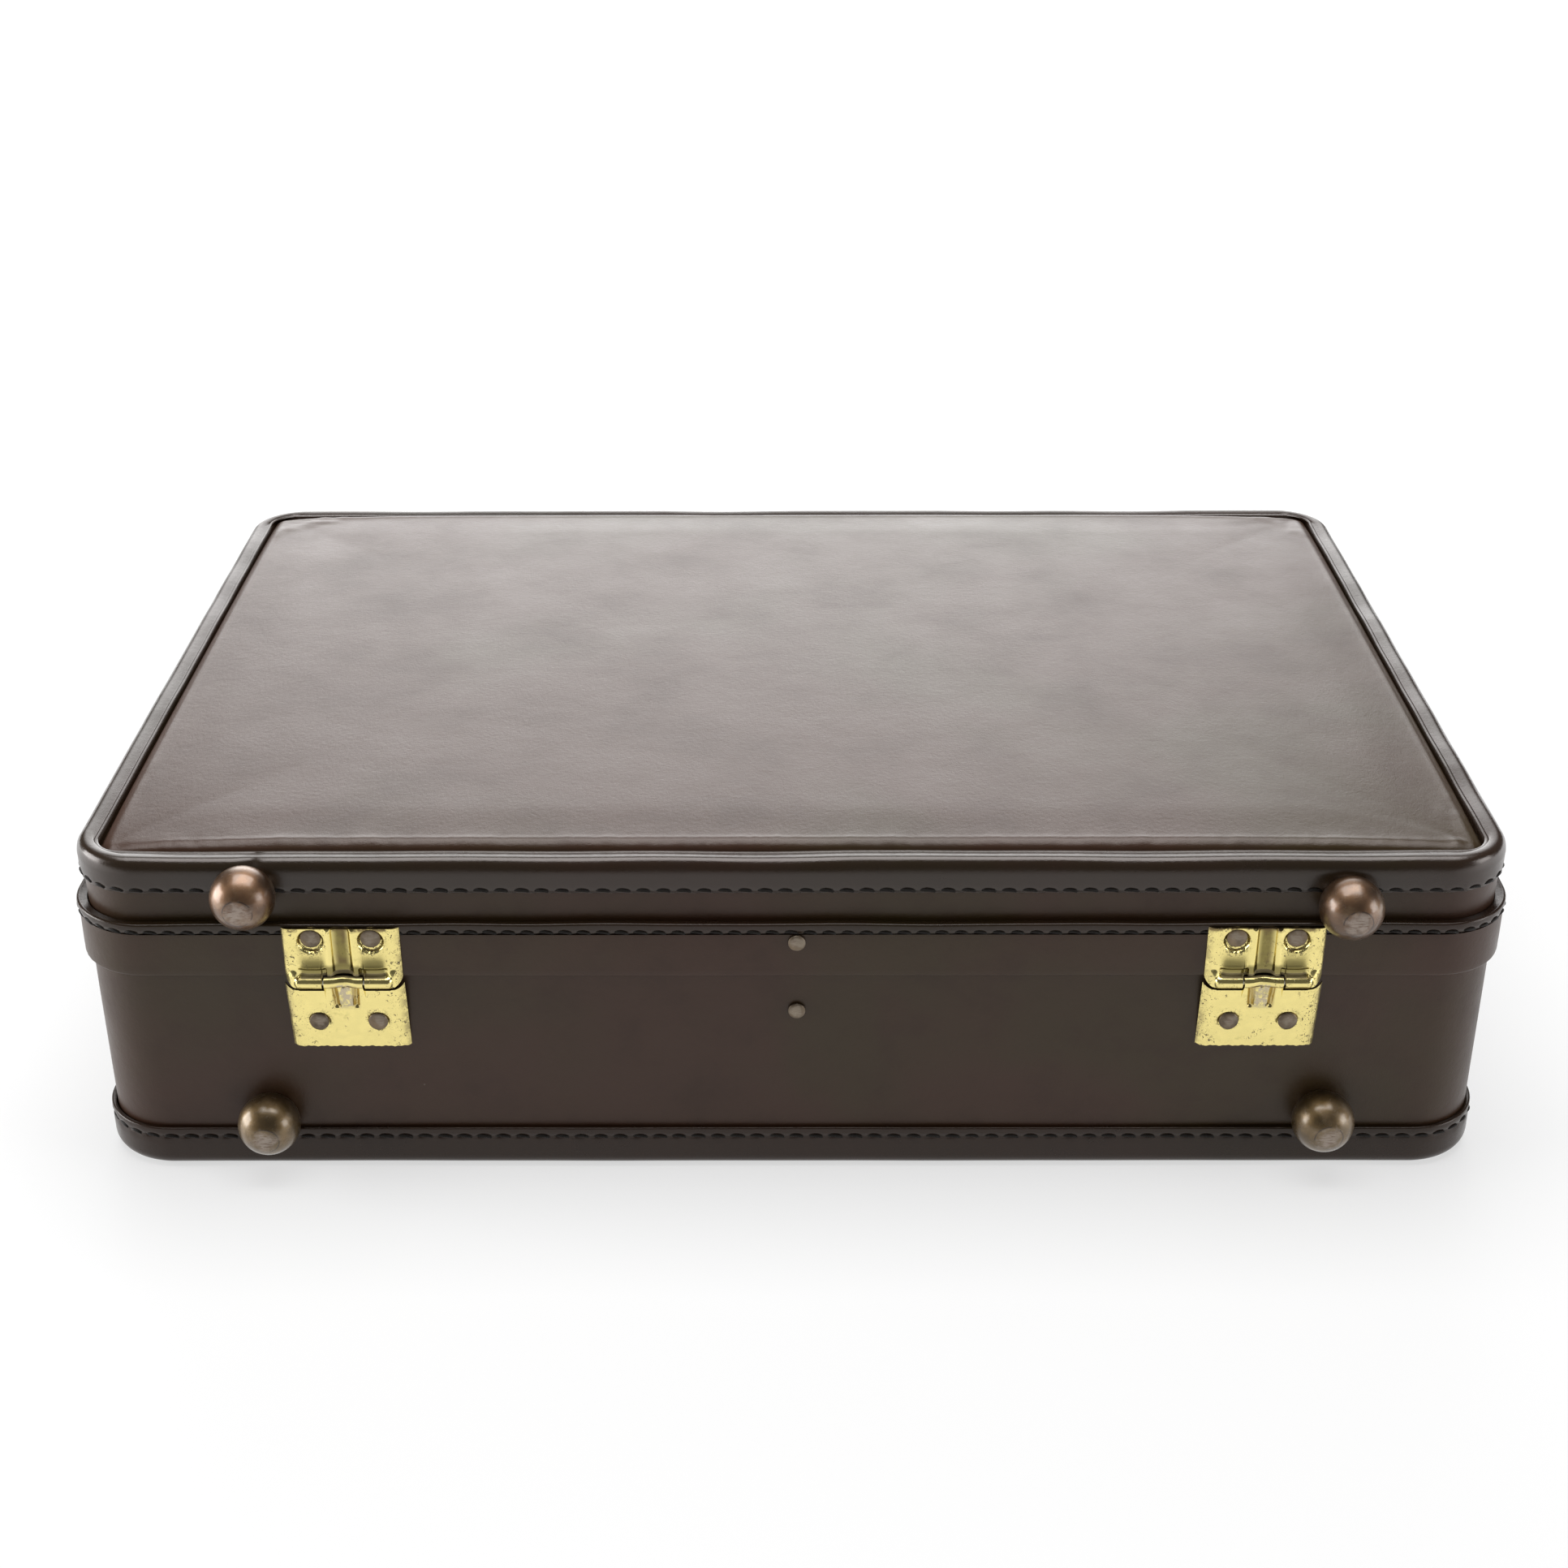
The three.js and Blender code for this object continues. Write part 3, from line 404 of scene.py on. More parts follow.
def leather(name, brown, olive, rough=(0.3, 0.44), grain=0.3, patch=9, gloss=1.43, swell=0.35):
    """Smooth calf leather, clouded between a brown and an olive tone, with a fine pebbled grain and worn specks."""
    look = Look(name)
    clouds = look.noise(patch, 4, 0.55, 0.4)
    fine_clouds = look.noise(patch * 6, 5, 0.6)
    tone = look.mixed(look.ranged(clouds, 0.42, 0.66), brown, olive)
    darker = tuple(c * 0.72 for c in brown)
    tone = look.mixed(look.ranged(fine_clouds, 0.45, 0.75, 0, 0.55), tone, darker)
    specks = look.ranged(look.cells(95), 0.0, 0.05, 1, 0)
    rare = look.ranged(look.noise(40, 2), 0.62, 0.66)
    tone = look.mixed(look.product(specks, rare, 0.3), tone, (0.22, 0.19, 0.16))
    look.set("Base Color", tone)
    pores = look.cells(1250, "DISTANCE_TO_EDGE")
    hide = look.noise(700, 3, 0.6)
    look.set("Roughness", look.ranged(fine_clouds, 0.3, 0.75, *rough, easing="LINEAR"))
    look.set("IOR", gloss)
    look.set("Specular Tint", (1.0, 0.93, 0.905, 1.0))
    under = look.bump(look.ranged(pores, 0.0, 0.12), grain * 0.35, 0.00012)
    under = look.bump(hide, grain * 0.5, 0.00025, under)
    look.bump(look.noise(60, 4, 0.6), swell, 0.0007, under)
    return look.material


def thread(name):
    look = Look(name)
    look.set("Base Color", look.mixed(look.noise(700, 2), (0.004, 0.003, 0.0025), (0.012, 0.009, 0.007)))
    look.set("Roughness", look.ranged(look.noise(1500, 2), 0.3, 0.7, 0.45, 0.7))
    look.set("Specular IOR Level", 0.2)
    twist = look.add("ShaderNodeTexWave", {"wave_type": "BANDS", "bands_direction": "DIAGONAL"}, Scale=900)
    look.put(twist, "Vector", look.position)
    look.bump(twist.outputs["Fac"], 0.5, 0.0002)
    return look.material


def hinge_tarnish_and_shade(look, centre, dots, tone, marks):
    """What a hinge's leaves have round their centre: pits near their sides, tarnished hollows, a rubbed tongue, burrs
    round the rivets and a darker top edge,
    with painted light beside them: darker olive on the swells' foot and under the ledge standing in for their dark
    reflection, painted shade in the slots and on the rolled sides, and a brown strip of painted shade above the
    barrel. Returns the tone and marks with these, and where the haze with its painted shade and the painted shade
    above the barrel lie."""
    aside = look.maths("ABSOLUTE", look.maths("SUBTRACT", look.axis("X"), centre * MM))
    height = look.axis("Z")

    # both take millimetres: how far aside of the hinge's centre, and how high in the row frame
    def beside(low, high):
        return look.ranged(aside, low * MM, high * MM)

    def level(low, high, *to):
        return look.ranged(height, low * MM, high * MM, *to)

    dense = look.ranged(look.noise(300, 3, 0.6), 0.4, 0.5)
    marks = look.maths("MAXIMUM", marks, look.product(dots, dense, beside(12, 15)))
    olive = look.mixed(look.ranged(look.noise(260, 4), 0.35, 0.7), (0.2, 0.165, 0.055), (0.12, 0.085, 0.04))
    channel = look.product(beside(3.6, 0.8), level(70.8, 73.8), level(76.2, 78.5, 0.3, 1))
    # painted dark reflection: dark olive on the strip under the ledge, over the barrel's top
    step = look.product(level(74.8, 75.5), level(78.8, 77.3), beside(13.6, 12.4))
    # haze: rougher brass, and painted dark reflection in olive on the swells' lower part
    haze_and_painted_shade = look.product(level(83.8, 77.9), level(75.7, 76.6), beside(4.6, 6.6), beside(14.4, 11.8))
    # painted shade: brown in patches on the rolled sides, where they turn away
    sides = look.product(beside(15.8, 18.2), look.ranged(look.noise(200, 4, 0.7), 0.35, 0.6))
    top = look.product(level(89.3, 90.5), look.ranged(look.noise(170, 4, 0.7), 0.42, 0.55))
    rubbed = look.ranged(look.noise(700, 4, 0.7), 0.38, 0.55)
    tongue = look.product(beside(2.8, 1.8), level(72.2, 71.5), level(61, 64), rubbed)
    # painted shade: the slots beside the tongue are darkened
    slot = look.product(beside(1.8, 2.4), beside(4.6, 3.6), level(72.2, 71), level(61, 63.5))
    # tints laid on the leaves: the channel's olive is tarnish and the tongue is rubbed bare; the step and haze are
    # painted dark reflection, and the sides and slot are painted shade
    for stain_and_shade, strength, colour in (
        (channel, 0.95, olive), (step, 0.85, (0.17, 0.14, 0.05)), (haze_and_painted_shade, 0.6, (0.22, 0.18, 0.055)),
        (sides, 0.7, (0.3, 0.24, 0.12)), (top, 0.85, (0.1, 0.06, 0.035)), (tongue, 0.8, (0.42, 0.36, 0.3)),
        (slot, 0.6, (0.3, 0.2, 0.09)),
    ):
        tone = look.mixed(look.product(stain_and_shade, strength), tone, colour)

    flat = look.add("ShaderNodeCombineXYZ", X=look.axis("X"), Z=height).outputs["Vector"]
    for spot in (-RIVET_X, RIVET_X):
        for z, reach in ((UPPER_RIVET_Z - 0.4, 5.6), (LOWER_RIVET_Z + 0.9, 5.0)):
            near = look.ranged(look.distance((centre + spot, 0, z), flat), reach * MM, (reach - 2.2) * MM)
            blotch = look.ranged(look.noise(380, 4, 0.7, 0.6), 0.5, 0.6)
            tone = look.mixed(look.product(near, blotch, 0.6), tone, (0.3, 0.26, 0.1))
            burrs = look.product(near, look.ranged(look.noise(1000, 3, 0.6, 1.2), 0.56, 0.6))
            marks = look.maths("MAXIMUM", marks, look.product(burrs, 0.8))
    # painted shade: a brown, rougher, less metallic strip above the barrel and at the channel's foot, standing in for
    # the shade there
    foot = look.product(beside(3.6, 3.0), level(76.2, 75.3))
    line = look.product(beside(13.6, 12.8), level(75.5, 75.0))
    painted_barrel_shade = look.product(look.maths("MAXIMUM", foot, line), level(73.7, 74.1))
    return look.mixed(look.product(painted_barrel_shade, 0.9), tone, (0.2, 0.155, 0.075)), marks, haze_and_painted_shade, painted_barrel_shade


def brass(name, centre=None):
    """Bright lacquered brass, lightly marked. Round a centre, a hinge's, it is pitted and tarnished, and painted with
    shade: darker where its leaves swell, slot and turn away, and a brown strip above the barrel.
    """
    look = Look(name)
    dots = look.ranged(look.noise(950, 4, 0.65, 1.2), 0.58, 0.62)
    flecks = look.ranged(look.noise(1.0, 3, 0.6, 0.6, look.stretched(1900, 1900, 620)), 0.63, 0.67)
    few = look.ranged(look.noise(230, 3, 0.6), 0.57, 0.64)
    marks = look.product(look.maths("MAXIMUM", dots, flecks), few)
    tone = look.mixed(look.ranged(look.noise(320, 4), 0.35, 0.7), BRIGHT, tuple(min(1, c * 1.05) for c in BRIGHT))
    tarnish = look.ranged(look.noise(170, 5, 0.7), 0.58, 0.74, 0, 0.45)
    if centre is None:
        marks = look.product(marks, 0.25)
        tarnish = look.product(tarnish, 0.6)
    else:
        tone, marks, haze_and_painted_shade, painted_barrel_shade = hinge_tarnish_and_shade(look, centre, dots, tone, marks)
    tone = look.mixed(tarnish, tone, (0.5, 0.43, 0.15))
    look.set("Base Color", look.mixed(look.product(marks, 0.92), tone, (0.06, 0.04, 0.025)))
    metal = look.ranged(marks, 0.2, 0.9, 1.0, 0.3)
    polish = look.ranged(look.noise(420, 4, 0.6), 0.3, 0.75, 0.12, 0.26, easing="LINEAR")
    rough = look.maths("MAXIMUM", polish, look.product(marks, 0.6))
    if centre is not None:
        # the painted shade above the barrel is less metallic, so that it reads brown
        metal = look.product(metal, look.ranged(painted_barrel_shade, 0, 1, 1, 0.25))
        for stain_and_shade, roughness in ((haze_and_painted_shade, 0.42), (painted_barrel_shade, 0.55)):
            rough = look.maths("MAXIMUM", rough, look.product(stain_and_shade, roughness))
    look.set("Metallic", metal)
    look.set("Roughness", rough)
    under = look.bump(look.noise(230, 3), 0.15, 0.0004)
    look.bump(look.maths("SUBTRACT", 1.0, marks), 0.3, 0.0001, under)
    return look.material


def browned(name, centre, colour=(0.19, 0.115, 0.065), tip=(0.36, 0.31, 0.27), wear=1.6, reach=5.0, lacquer=1.0):
    """Browned brass under lacquer, rubbed to pale metal round a point, with scratches that cross the bare patch."""
    look = Look(name)
    away = look.distance(centre)
    distance = look.maths("ADD", away, look.ranged(look.noise(380, 4), 0.3, 0.7, -0.0011, 0.0011))
    worn = look.ranged(distance, wear * MM, reach * MM, 1, 0)
    ring_line = look.ranged(look.maths("ABSOLUTE", look.maths("SUBTRACT", away, 4.5 * MM)), 0.0001, 0.0003, 1, 0)
    ring_line = look.product(ring_line, look.ranged(look.noise(260, 2), 0.42, 0.52))
    patina = look.mixed(look.ranged(look.noise(150, 4, 0.6), 0.35, 0.7), colour, tuple(c * 0.6 for c in colour))
    rubbed = look.ranged(look.noise(95, 4, 0.6, 0.5), 0.5, 0.68, 0, 0.45)
    patina = look.mixed(rubbed, patina, (0.26, 0.185, 0.11))
    scratch = look.noise(1.0, 3, 0.6, 0.3, look.stretched(420, 700, 2400))
    tip_tone = look.mixed(look.ranged(scratch, 0.48, 0.66), tip, (0.2, 0.15, 0.12))
    tone = look.mixed(look.product(worn, 0.75), patina, tip_tone)
    look.set("Base Color", look.mixed(look.product(ring_line, lacquer * 0.7), tone, (0.03, 0.02, 0.015)))
    look.set("Metallic", 1.0)
    look.set("Roughness", look.ranged(look.noise(260, 4), 0.3, 0.7, 0.4, 0.52, easing="LINEAR"))
    look.set("Coat Weight", look.ranged(worn, 0.3, 0.8, lacquer, 0.25))
    look.set("Coat Roughness", look.ranged(look.noise(420, 4), 0.3, 0.7, 0.16, 0.3, easing="LINEAR"))
    under = look.bump(look.noise(500, 3), 0.15, 0.0002)
    look.bump(scratch, 0.2, 0.0002, under)
    return look.material


def felt(name, colour):
    look = Look(name)
    fibres = look.noise(1400, 6, 0.8, 1.5)
    look.set("Base Color", look.mixed(look.ranged(fibres, 0.35, 0.7), tuple(c * 0.6 for c in colour), colour))
    look.set("Roughness", 0.95)
    look.set("Sheen Weight", 0.5)
    look.set("Sheen Roughness", 0.5)
    under = look.bump(fibres, 0.5, 0.0006)
    look.bump(look.noise(90, 4), 0.3, 0.001, under)
    return look.material


def wood(name, dark, light, grain_x=14.0):
    look = Look(name)
    along = look.stretched(grain_x, 110, 110)
    rings = look.add("ShaderNodeTexWave", {"wave_type": "RINGS"}, Scale=0.3, Distortion=3.5, Detail=4)
    rings.inputs["Detail Scale"].default_value = 1.4
    look.put(rings, "Vector", along)
    figure = look.ranged(rings.outputs["Fac"], 0.1, 0.9)
    fibre = look.noise(1.0, 6, 0.65, 0.2, look.stretched(60, 1500, 1500))
    tone = look.mixed(figure, dark, light)
    tone = look.mixed(look.ranged(fibre, 0.45, 0.75, 0, 0.6), tone, tuple(c * 0.6 for c in dark))
    look.set("Base Color", tone)
    look.set("Roughness", look.ranged(fibre, 0.3, 0.8, 0.34, 0.5, easing="LINEAR"))
    look.bump(fibre, 0.25, 0.0003)
    return look.material


def steel(name):
    look = Look(name)
    brushed = look.noise(1.0, 4, 0.6, 0, look.stretched(300, 4000, 4000))
    look.set("Base Color", look.mixed(look.ranged(brushed, 0.3, 0.7), (0.42, 0.42, 0.42), (0.6, 0.6, 0.59)))
    look.set("Metallic", 1.0)
    look.set("Roughness", look.ranged(brushed, 0.3, 0.7, 0.25, 0.42, easing="LINEAR"))
    look.bump(brushed, 0.15, 0.0001)
    return look.material


body_leather = leather("body_leather", BROWN, OLIVE)
panel_leather = leather("panel_leather", BROWN, OLIVE, (0.29, 0.38), 0.45, patch=5.5, gloss=1.46, swell=0.2)
trim_leather = leather("trim_leather", TRIM_BROWN, TRIM_OLIVE, (0.2, 0.3), 0.25, gloss=1.42, swell=0.2)
rim_leather = leather("rim_leather", RIM_BROWN, RIM_OLIVE, (0.2, 0.3), 0.25, gloss=1.54, swell=0.2)
dark_thread = thread("dark_thread")
bright_brass = brass("bright_brass")
hinge_brass = {side: brass(f"hinge_brass_{side}", HINGE_X[side]) for side in ("left", "right")}
lining_felt = felt("lining_felt", (0.03, 0.13, 0.07))
walnut = wood("walnut", (0.1, 0.047, 0.022), (0.145, 0.07, 0.033), 6.0)
raw_board = wood("raw_board", (0.42, 0.3, 0.18), (0.55, 0.42, 0.27))
plain_steel = steel("plain_steel")


# ---------- camera, floor and light ----------
LENS = 53.054
CAMERA_TILT, CAMERA_TURN, CAMERA_ROLL = 27.278, 0.128, -0.104
CAMERA_SPOT = (-0.0007, REAR_Y * MM - 0.6112, 0.45383)
FLOOR_HALF = 9000


def make_camera():
    """A short telephoto camera before the hinges, looking down at the lid."""
    data = bpy.data.cameras.new("camera")
    data.sensor_width = 36
    data.lens = LENS
    data.clip_start = 0.05
    data.clip_end = 30
    camera = bpy.data.objects.new("camera", data)
    bpy.context.scene.collection.objects.link(camera)
    turn = Matrix.Rotation(math.radians(CAMERA_TURN), 4, "Z") @ Matrix.Rotation(math.radians(90 - CAMERA_TILT), 4, "X")
    turn = turn @ Matrix.Rotation(math.radians(CAMERA_ROLL), 4, "Z")
    camera.matrix_world = Matrix.Translation(CAMERA_SPOT) @ turn
    bpy.context.scene.camera = camera


def make_floor():
    """A plain floor that glows a little, as white paper lit from below: painted light, stronger away from the case and
    weaker near it, a painted shade round the case. Towards the camera's side the glow dims, a painted shade that the
    case's faces reflect.
    """
    look = Look("floor")
    look.set("Base Color", (0.25, 0.25, 0.25, 1))
    look.set("Roughness", 0.6)
    look.set("Specular IOR Level", 0.2)
    look.set("Emission Color", (1, 1, 1, 1))
    aside = look.ranged(look.maths("ABSOLUTE", look.axis("X")), 0.3, 0.75)
    behind = look.ranged(look.axis("Y"), 0.25, 0.8)
    # painted light: the glow is weaker near the case, a painted shade round it
    painted_floor_glow = look.ranged(look.maths("MAXIMUM", aside, behind), 0, 1, 0.62, 1.7, "LINEAR")
    # painted shade: the glow dims towards the camera's side, darkening what the case's faces reflect
    before = look.ranged(look.axis("Y"), -0.95, -0.33, 0.6, 1)
    look.set("Emission Strength", look.product(painted_floor_glow, before))
    points = [[x * FLOOR_HALF, y * FLOOR_HALF, 0] for x, y in ((-1, -1), (1, -1), (1, 1), (-1, 1))]
    mesh_object("floor", points, [[0, 1, 2, 3]], look.material)


def area_light(name, spot, target, size, radiance):
    data = bpy.data.lights.new(name, "AREA")
    data.shape = "RECTANGLE"
    data.size, data.size_y = size
    data.energy = radiance * math.pi * size[0] * size[1]
    light = bpy.data.objects.new(name, data)
    bpy.context.scene.collection.objects.link(light)
    aim = Vector(target) - Vector(spot)
    light.matrix_world = Matrix.Translation(spot) @ aim.to_track_quat("-Z", "Y").to_matrix().to_4x4()


def make_light():
    """A bright sweep behind the case that darkens towards the camera's side, and three softboxes."""
    world = bpy.data.worlds.new("studio")
    bpy.context.scene.world = world
    world.use_nodes = True
    nodes = Nodes(world.node_tree, "Generated")
    behind = nodes.ranged(nodes.axis("Y"), 0.0, 0.35)
    low_down = nodes.ranged(nodes.axis("Z"), 0.82, 0.32)
    sideways = nodes.maths("ABSOLUTE", nodes.maths("ADD", nodes.axis("X"), 0.03))
    sweep = nodes.product(behind, low_down, nodes.ranged(sideways, 0.48, 0.16), 3.8)
    background = nodes.tree.nodes["Background"]
    nodes.put(background, "Color", (1, 1, 1, 1))
    nodes.put(background, "Strength", nodes.maths("ADD", sweep, 0.12))
    area_light("softbox_top", (0, 0.16, 1.6), (0, 0.16, 0), (1.6, 1.2), 6.0)
    area_light("softbox_left", (-1.6, -0.15, 0.4), (0, -0.15, 0.1), (1.0, 0.8), 9)
    area_light("softbox_right", (1.6, -0.6, 0.45), (0, -0.15, 0.1), (0.7, 0.7), 6)
    bpy.context.scene.view_settings.view_transform = "Standard"


make_camera()
make_floor()
make_light()


# ---------- leather shells ----------
RIM_TOP = RIM_HIGH[2] - 1.3
RIM_ROLL, RIM_FRONT = 3.66, 5.2  # the roll's reach inwards and downwards
RIM_PITCH, HEM_PITCH, BINDING_PITCH = 6.2, 5.8, 6.3  # from stitch to stitch
WALL_LEATHER = 1.2
BINDING_TURN = 4.6


def gentle(amount, length, seed):
    """A bend that moves a row in and out a little, as hand-laid leather does."""

    def move(row, normals):
        shift = amount * waves(row, length, seed)
        return np.column_stack([normals * shift[:, None], np.zeros(len(row))])

    return move


def make_base_side():
    """The body leather of the base, turned over the wall's top edge into the case."""
    edge = 1.3
    top = BASE_TOP_Z
    section = [[0, 2.0], [0, 30], [0, 60], [0, top - edge - 4]]
    section += arc(edge, top - edge, -edge, edge, 0, 90, 6)
    section += [[INNER_INSET / 2, top + 0.05]]
    section += arc(FLAP_INSET - edge, top - edge, edge, edge, 90, 0, 6)
    section += [[FLAP_INSET, top - 8], [INNER_INSET - 0.8, top - 8], [INNER_INSET - 1.2, top - 1.4]]
    section += [[WALL_LEATHER, top - 1.4], [WALL_LEATHER, 2.0]]
    points, faces = ring(section, gentle(0.1, 70, 3))
    place(mesh_object("base_leather", points, faces, body_leather, 50), "base", "body_leather", "base_side_leather")


def make_lid_side():
    """The side leather of the lid, turned under its lower edge into the case."""
    edge = 1.2
    foot = LID_FOOT_Z
    outer = LID_WALL_INSET
    section = [[outer, LID_LEATHER_TOP_Z], [outer, foot + edge + 2]]
    section += arc(outer + edge, foot + edge, -edge, -edge, 0, 90, 6)
    section += arc(FLAP_INSET - edge, foot + edge, edge, -edge, 90, 0, 6)
    section += [[FLAP_INSET, foot + 8], [INNER_INSET - 0.8, foot + 8], [INNER_INSET - 1.2, foot + 1.4]]
    section += [[outer + WALL_LEATHER, foot + 1.4], [outer + WALL_LEATHER, LID_LEATHER_TOP_Z]]
    points, faces = ring(section, gentle(0.1, 60, 4))
    place(mesh_object("lid_leather", points, faces, body_leather, 50), "lid", "body_leather", "lid_side_leather")


def puckered(pitch, z, depth=0.16, reach=1.3):
    """A bend for a sewn edge: the leather swells between the stitches, which are a pitch apart at a height."""

    def move(row, normals):
        distance, whole = around(row[:, :2])
        count = round(whole / pitch)
        swell = np.cos(2 * math.pi * distance / whole * count)
        near = np.exp(-((row[:, 2] - z) / reach) ** 2)
        shift = depth * swell * near
        return np.column_stack([normals * shift[:, None], -0.35 * shift])

    return move


def both(*bends):
    return lambda row, normals: sum(bend(row, normals) for bend in bends)


def dent(x, z, size, depth):
    """A knock in the rear face."""

    def move(row, normals):
        near = np.exp(-((row[:, 0] - x) ** 2 + (row[:, 2] - z) ** 2) / size ** 2) * (row[:, 1] < 0)
        return np.column_stack([-normals * depth * near[:, None], -0.5 * depth * near])

    return move


def make_rim():
    """The rolled binding round the lid: a sewn lower edge, an upright face, a roll, a groove and a thin inner bead."""
    face, foot, top = RIM_FACE_INSET, RIM_LOW[2], RIM_TOP
    centre = face + RIM_ROLL
    section = [[0.7, foot + 0.1], [face + 0.55, foot], [face + 0.2, foot + 0.12], [face + 0.16, foot + 0.4]]
    section += [[face + 0.42, RIM_STITCH_Z], [face + 0.26, foot + 1.2], [face + 0.05, foot + 1.8]]
    section += [[face, foot + 2.8], [face - 0.03, top - 7.2], [face, top - RIM_FRONT - 0.3]]
    roll = arc(centre, top - RIM_FRONT, -RIM_ROLL, RIM_FRONT, 6, 93, 11)
    section += [[*p, 22 - 5 * smooth(k / 10)] for k, p in enumerate(roll)]
    section += [[4.9, top - 0.16, 16], [5.7, top - 0.34, 14], [6.3, top - 0.5, 11.5]]
    section += [p + [9] for p in arc(7.15, top - 0.95, -0.75, 0.6, 40, 150, 6)]
    section += [[8.05, top - 1.7, 6], [8.25, top - 2.6, 5], [8.3, LID_SEAT_Z, 5]]
    section += [[0.7, LID_SEAT_Z], [0.7, foot + 2]]
    bend = both(gentle(0.05, 60, 5), puckered(RIM_PITCH, RIM_STITCH_Z), dent(-164.6, top - 1.6, 2.4, 0.9))
    points, faces = ring(section, bend, along=1.0, corner=40)
    sag = 0.12 * waves(points[:, :2], 45, 6) * smooth((points[:, 2] - top + 4) / 4)
    points[:, 2] += np.minimum(sag, 0.12)
    place(mesh_object("lid_rim", points, faces, rim_leather, 60), "lid", "binding_leather", "lid_rim_binding")


def make_band():
    """The stiff valance on the lid's lower edge, with its rolled foot and its sewn hem."""
    face, foot, top = BAND_FACE_INSET, BAND_LOW[2], BAND_HIGH[2]
    inner = -0.4
    section = [[inner, foot + 0.3]]
    section += arc((face + inner) / 2, foot + 0.95, (inner - face) / 2, -0.95, 0, 180, 8)
    section += [[face, foot + 2.5], [face - 0.05, foot + 6], [face, top - 1.2], [face + 0.12, top - 0.1]]
    section += [[0.7, top - 0.1], [0.7, LID_FOOT_Z], [inner, LID_FOOT_Z]]
    points, faces = ring(section, gentle(0.08, 70, 8), along=3)
    band = mesh_object("lid_valance", points, faces, body_leather, 60)
    place(band, "lid", "body_leather", "lid_band")

    face, foot, top = HEM_FACE_INSET, HEM_LOW[2], HEM_HIGH[2]
    section = [[0.6, foot - 0.05], [face + 0.75, foot - 0.05], [face + 0.5, foot + 0.1], [face + 0.55, HEM_STITCH_Z]]
    section += [[face + 0.3, foot + 0.8], [face + 0.02, foot + 1.5], [face - 0.05, foot + 2.4]]
    section += arc(face + 0.7, top - 0.75, -0.75, 0.75, 10, 120, 7)
    section += [[face + 1.9, top - 0.35], [0.6, top - 0.5]]
    bend = both(gentle(0.06, 45, 9), puckered(HEM_PITCH, HEM_STITCH_Z))
    points, faces = ring(section, bend, along=1.0, corner=40)
    points[:, 2] += 0.12 * waves(points[:, :2], 40, 10) * smooth((points[:, 2] - foot - 1) / 2)
    hem = mesh_object("lid_hem", points, faces, trim_leather, 60)
    place(hem, "lid", "binding_leather", "lid_band_hem")


def make_bottom_binding():
    """The binding round the base's foot, sewn near its upper edge and turned under the case."""
    face, top = BINDING_FACE_INSET, BINDING_HIGH[2]
    section = [[-0.25, top - 0.3]]
    section += arc(face + 0.6, top - 0.65, -0.6, 0.6, 110, 20, 6)
    section += [[face - 0.02, top - 1.6], [face + 0.1, top - 2.4], [face + 0.42, BINDING_STITCH_Z + 0.3]]
    section += [[face + 0.5, BINDING_STITCH_Z], [face + 0.3, BINDING_STITCH_Z - 0.6]]
    section += [[face + 0.04, BINDING_STITCH_Z - 1.5], [face, BINDING_STITCH_Z - 3]]
    section += arc(face + BINDING_TURN, BINDING_TURN, -BINDING_TURN, -BINDING_TURN, 0, 90, 9)
    section += [[6, 0], [9, 0], [9, 1.4], [-0.25, 1.4]]
    bend = both(gentle(0.06, 50, 11), puckered(BINDING_PITCH, BINDING_STITCH_Z))
    points, faces = ring(section, bend, along=1.0, corner=40)
    points[:, 2] = np.maximum(points[:, 2], 0)
    piece = mesh_object("base_binding", points, faces, trim_leather, 60)
    place(piece, "base", "binding_leather", "base_bottom_binding")


def stitches(name, inset, z, pitch, body, radius=0.52, seed=1):
    """A row of slanted thread dashes round the case, in one mesh. Each dips at its right end, into its hole."""
    plan, _ = outline(inset, along=0.6, corner=60)
    distance, whole = around(plan)
    count = round(whole / pitch)
    pitch = whole / count
    draw = np.random.default_rng(seed)
    closed = np.concatenate([distance, [whole]])
    loop = np.concatenate([plan, plan[:1]])
    # one dash, point by point: place along the pitch, drop, depth in the leather, and thickness
    spine = np.array([-0.46, -0.42, -0.3, -0.1, 0.12, 0.28, 0.39, 0.44])
    drop = np.array([0.0, 0.2, 0.34, 0.36, 0.22, -0.04, -0.36, -0.62])
    sink = np.array([0.7, 0.25, 0.0, -0.1, 0.0, 0.1, 0.35, 0.8])
    girth = np.array([0.25, 0.7, 0.9, 1.0, 1.05, 1.05, 0.9, 0.3])
    turn = full_turn(7)
    parts = []
    for k in range(count):
        length = pitch * 0.9 * draw.uniform(0.94, 1.03)
        at = (k + 0.5) * pitch + spine * length + draw.uniform(-0.12, 0.12)
        here, ahead = (np.column_stack([np.interp(np.mod(a, whole), closed, loop[:, i]) for i in (0, 1)])
                       for a in (at, np.mod(at, whole) + 0.4))
        tangent = ahead - here
        tangent /= np.linalg.norm(tangent, axis=1)[:, None]
        normal = np.column_stack([-tangent[:, 1], tangent[:, 0]])
        normal *= np.sign((normal * here).sum(1))[:, None]
        lift = draw.uniform(-0.08, 0.08)
        centre = here - normal * (sink * 0.9)[:, None]
        thick = radius * girth * draw.uniform(0.9, 1.1)
        rows = []
        for i in range(len(spine)):
            out, up = np.cos(turn) * thick[i], np.sin(turn) * thick[i]
            rows.append(np.column_stack([centre[i] + normal[i] * out[:, None], z + lift + drop[i] + up]))
        points, faces = tube(rows)
        faces[-2].reverse()
        parts.append((points, faces))
    points, faces = joined(parts)
    return place(mesh_object(name, points, faces, dark_thread, 80), body, "binding_leather")


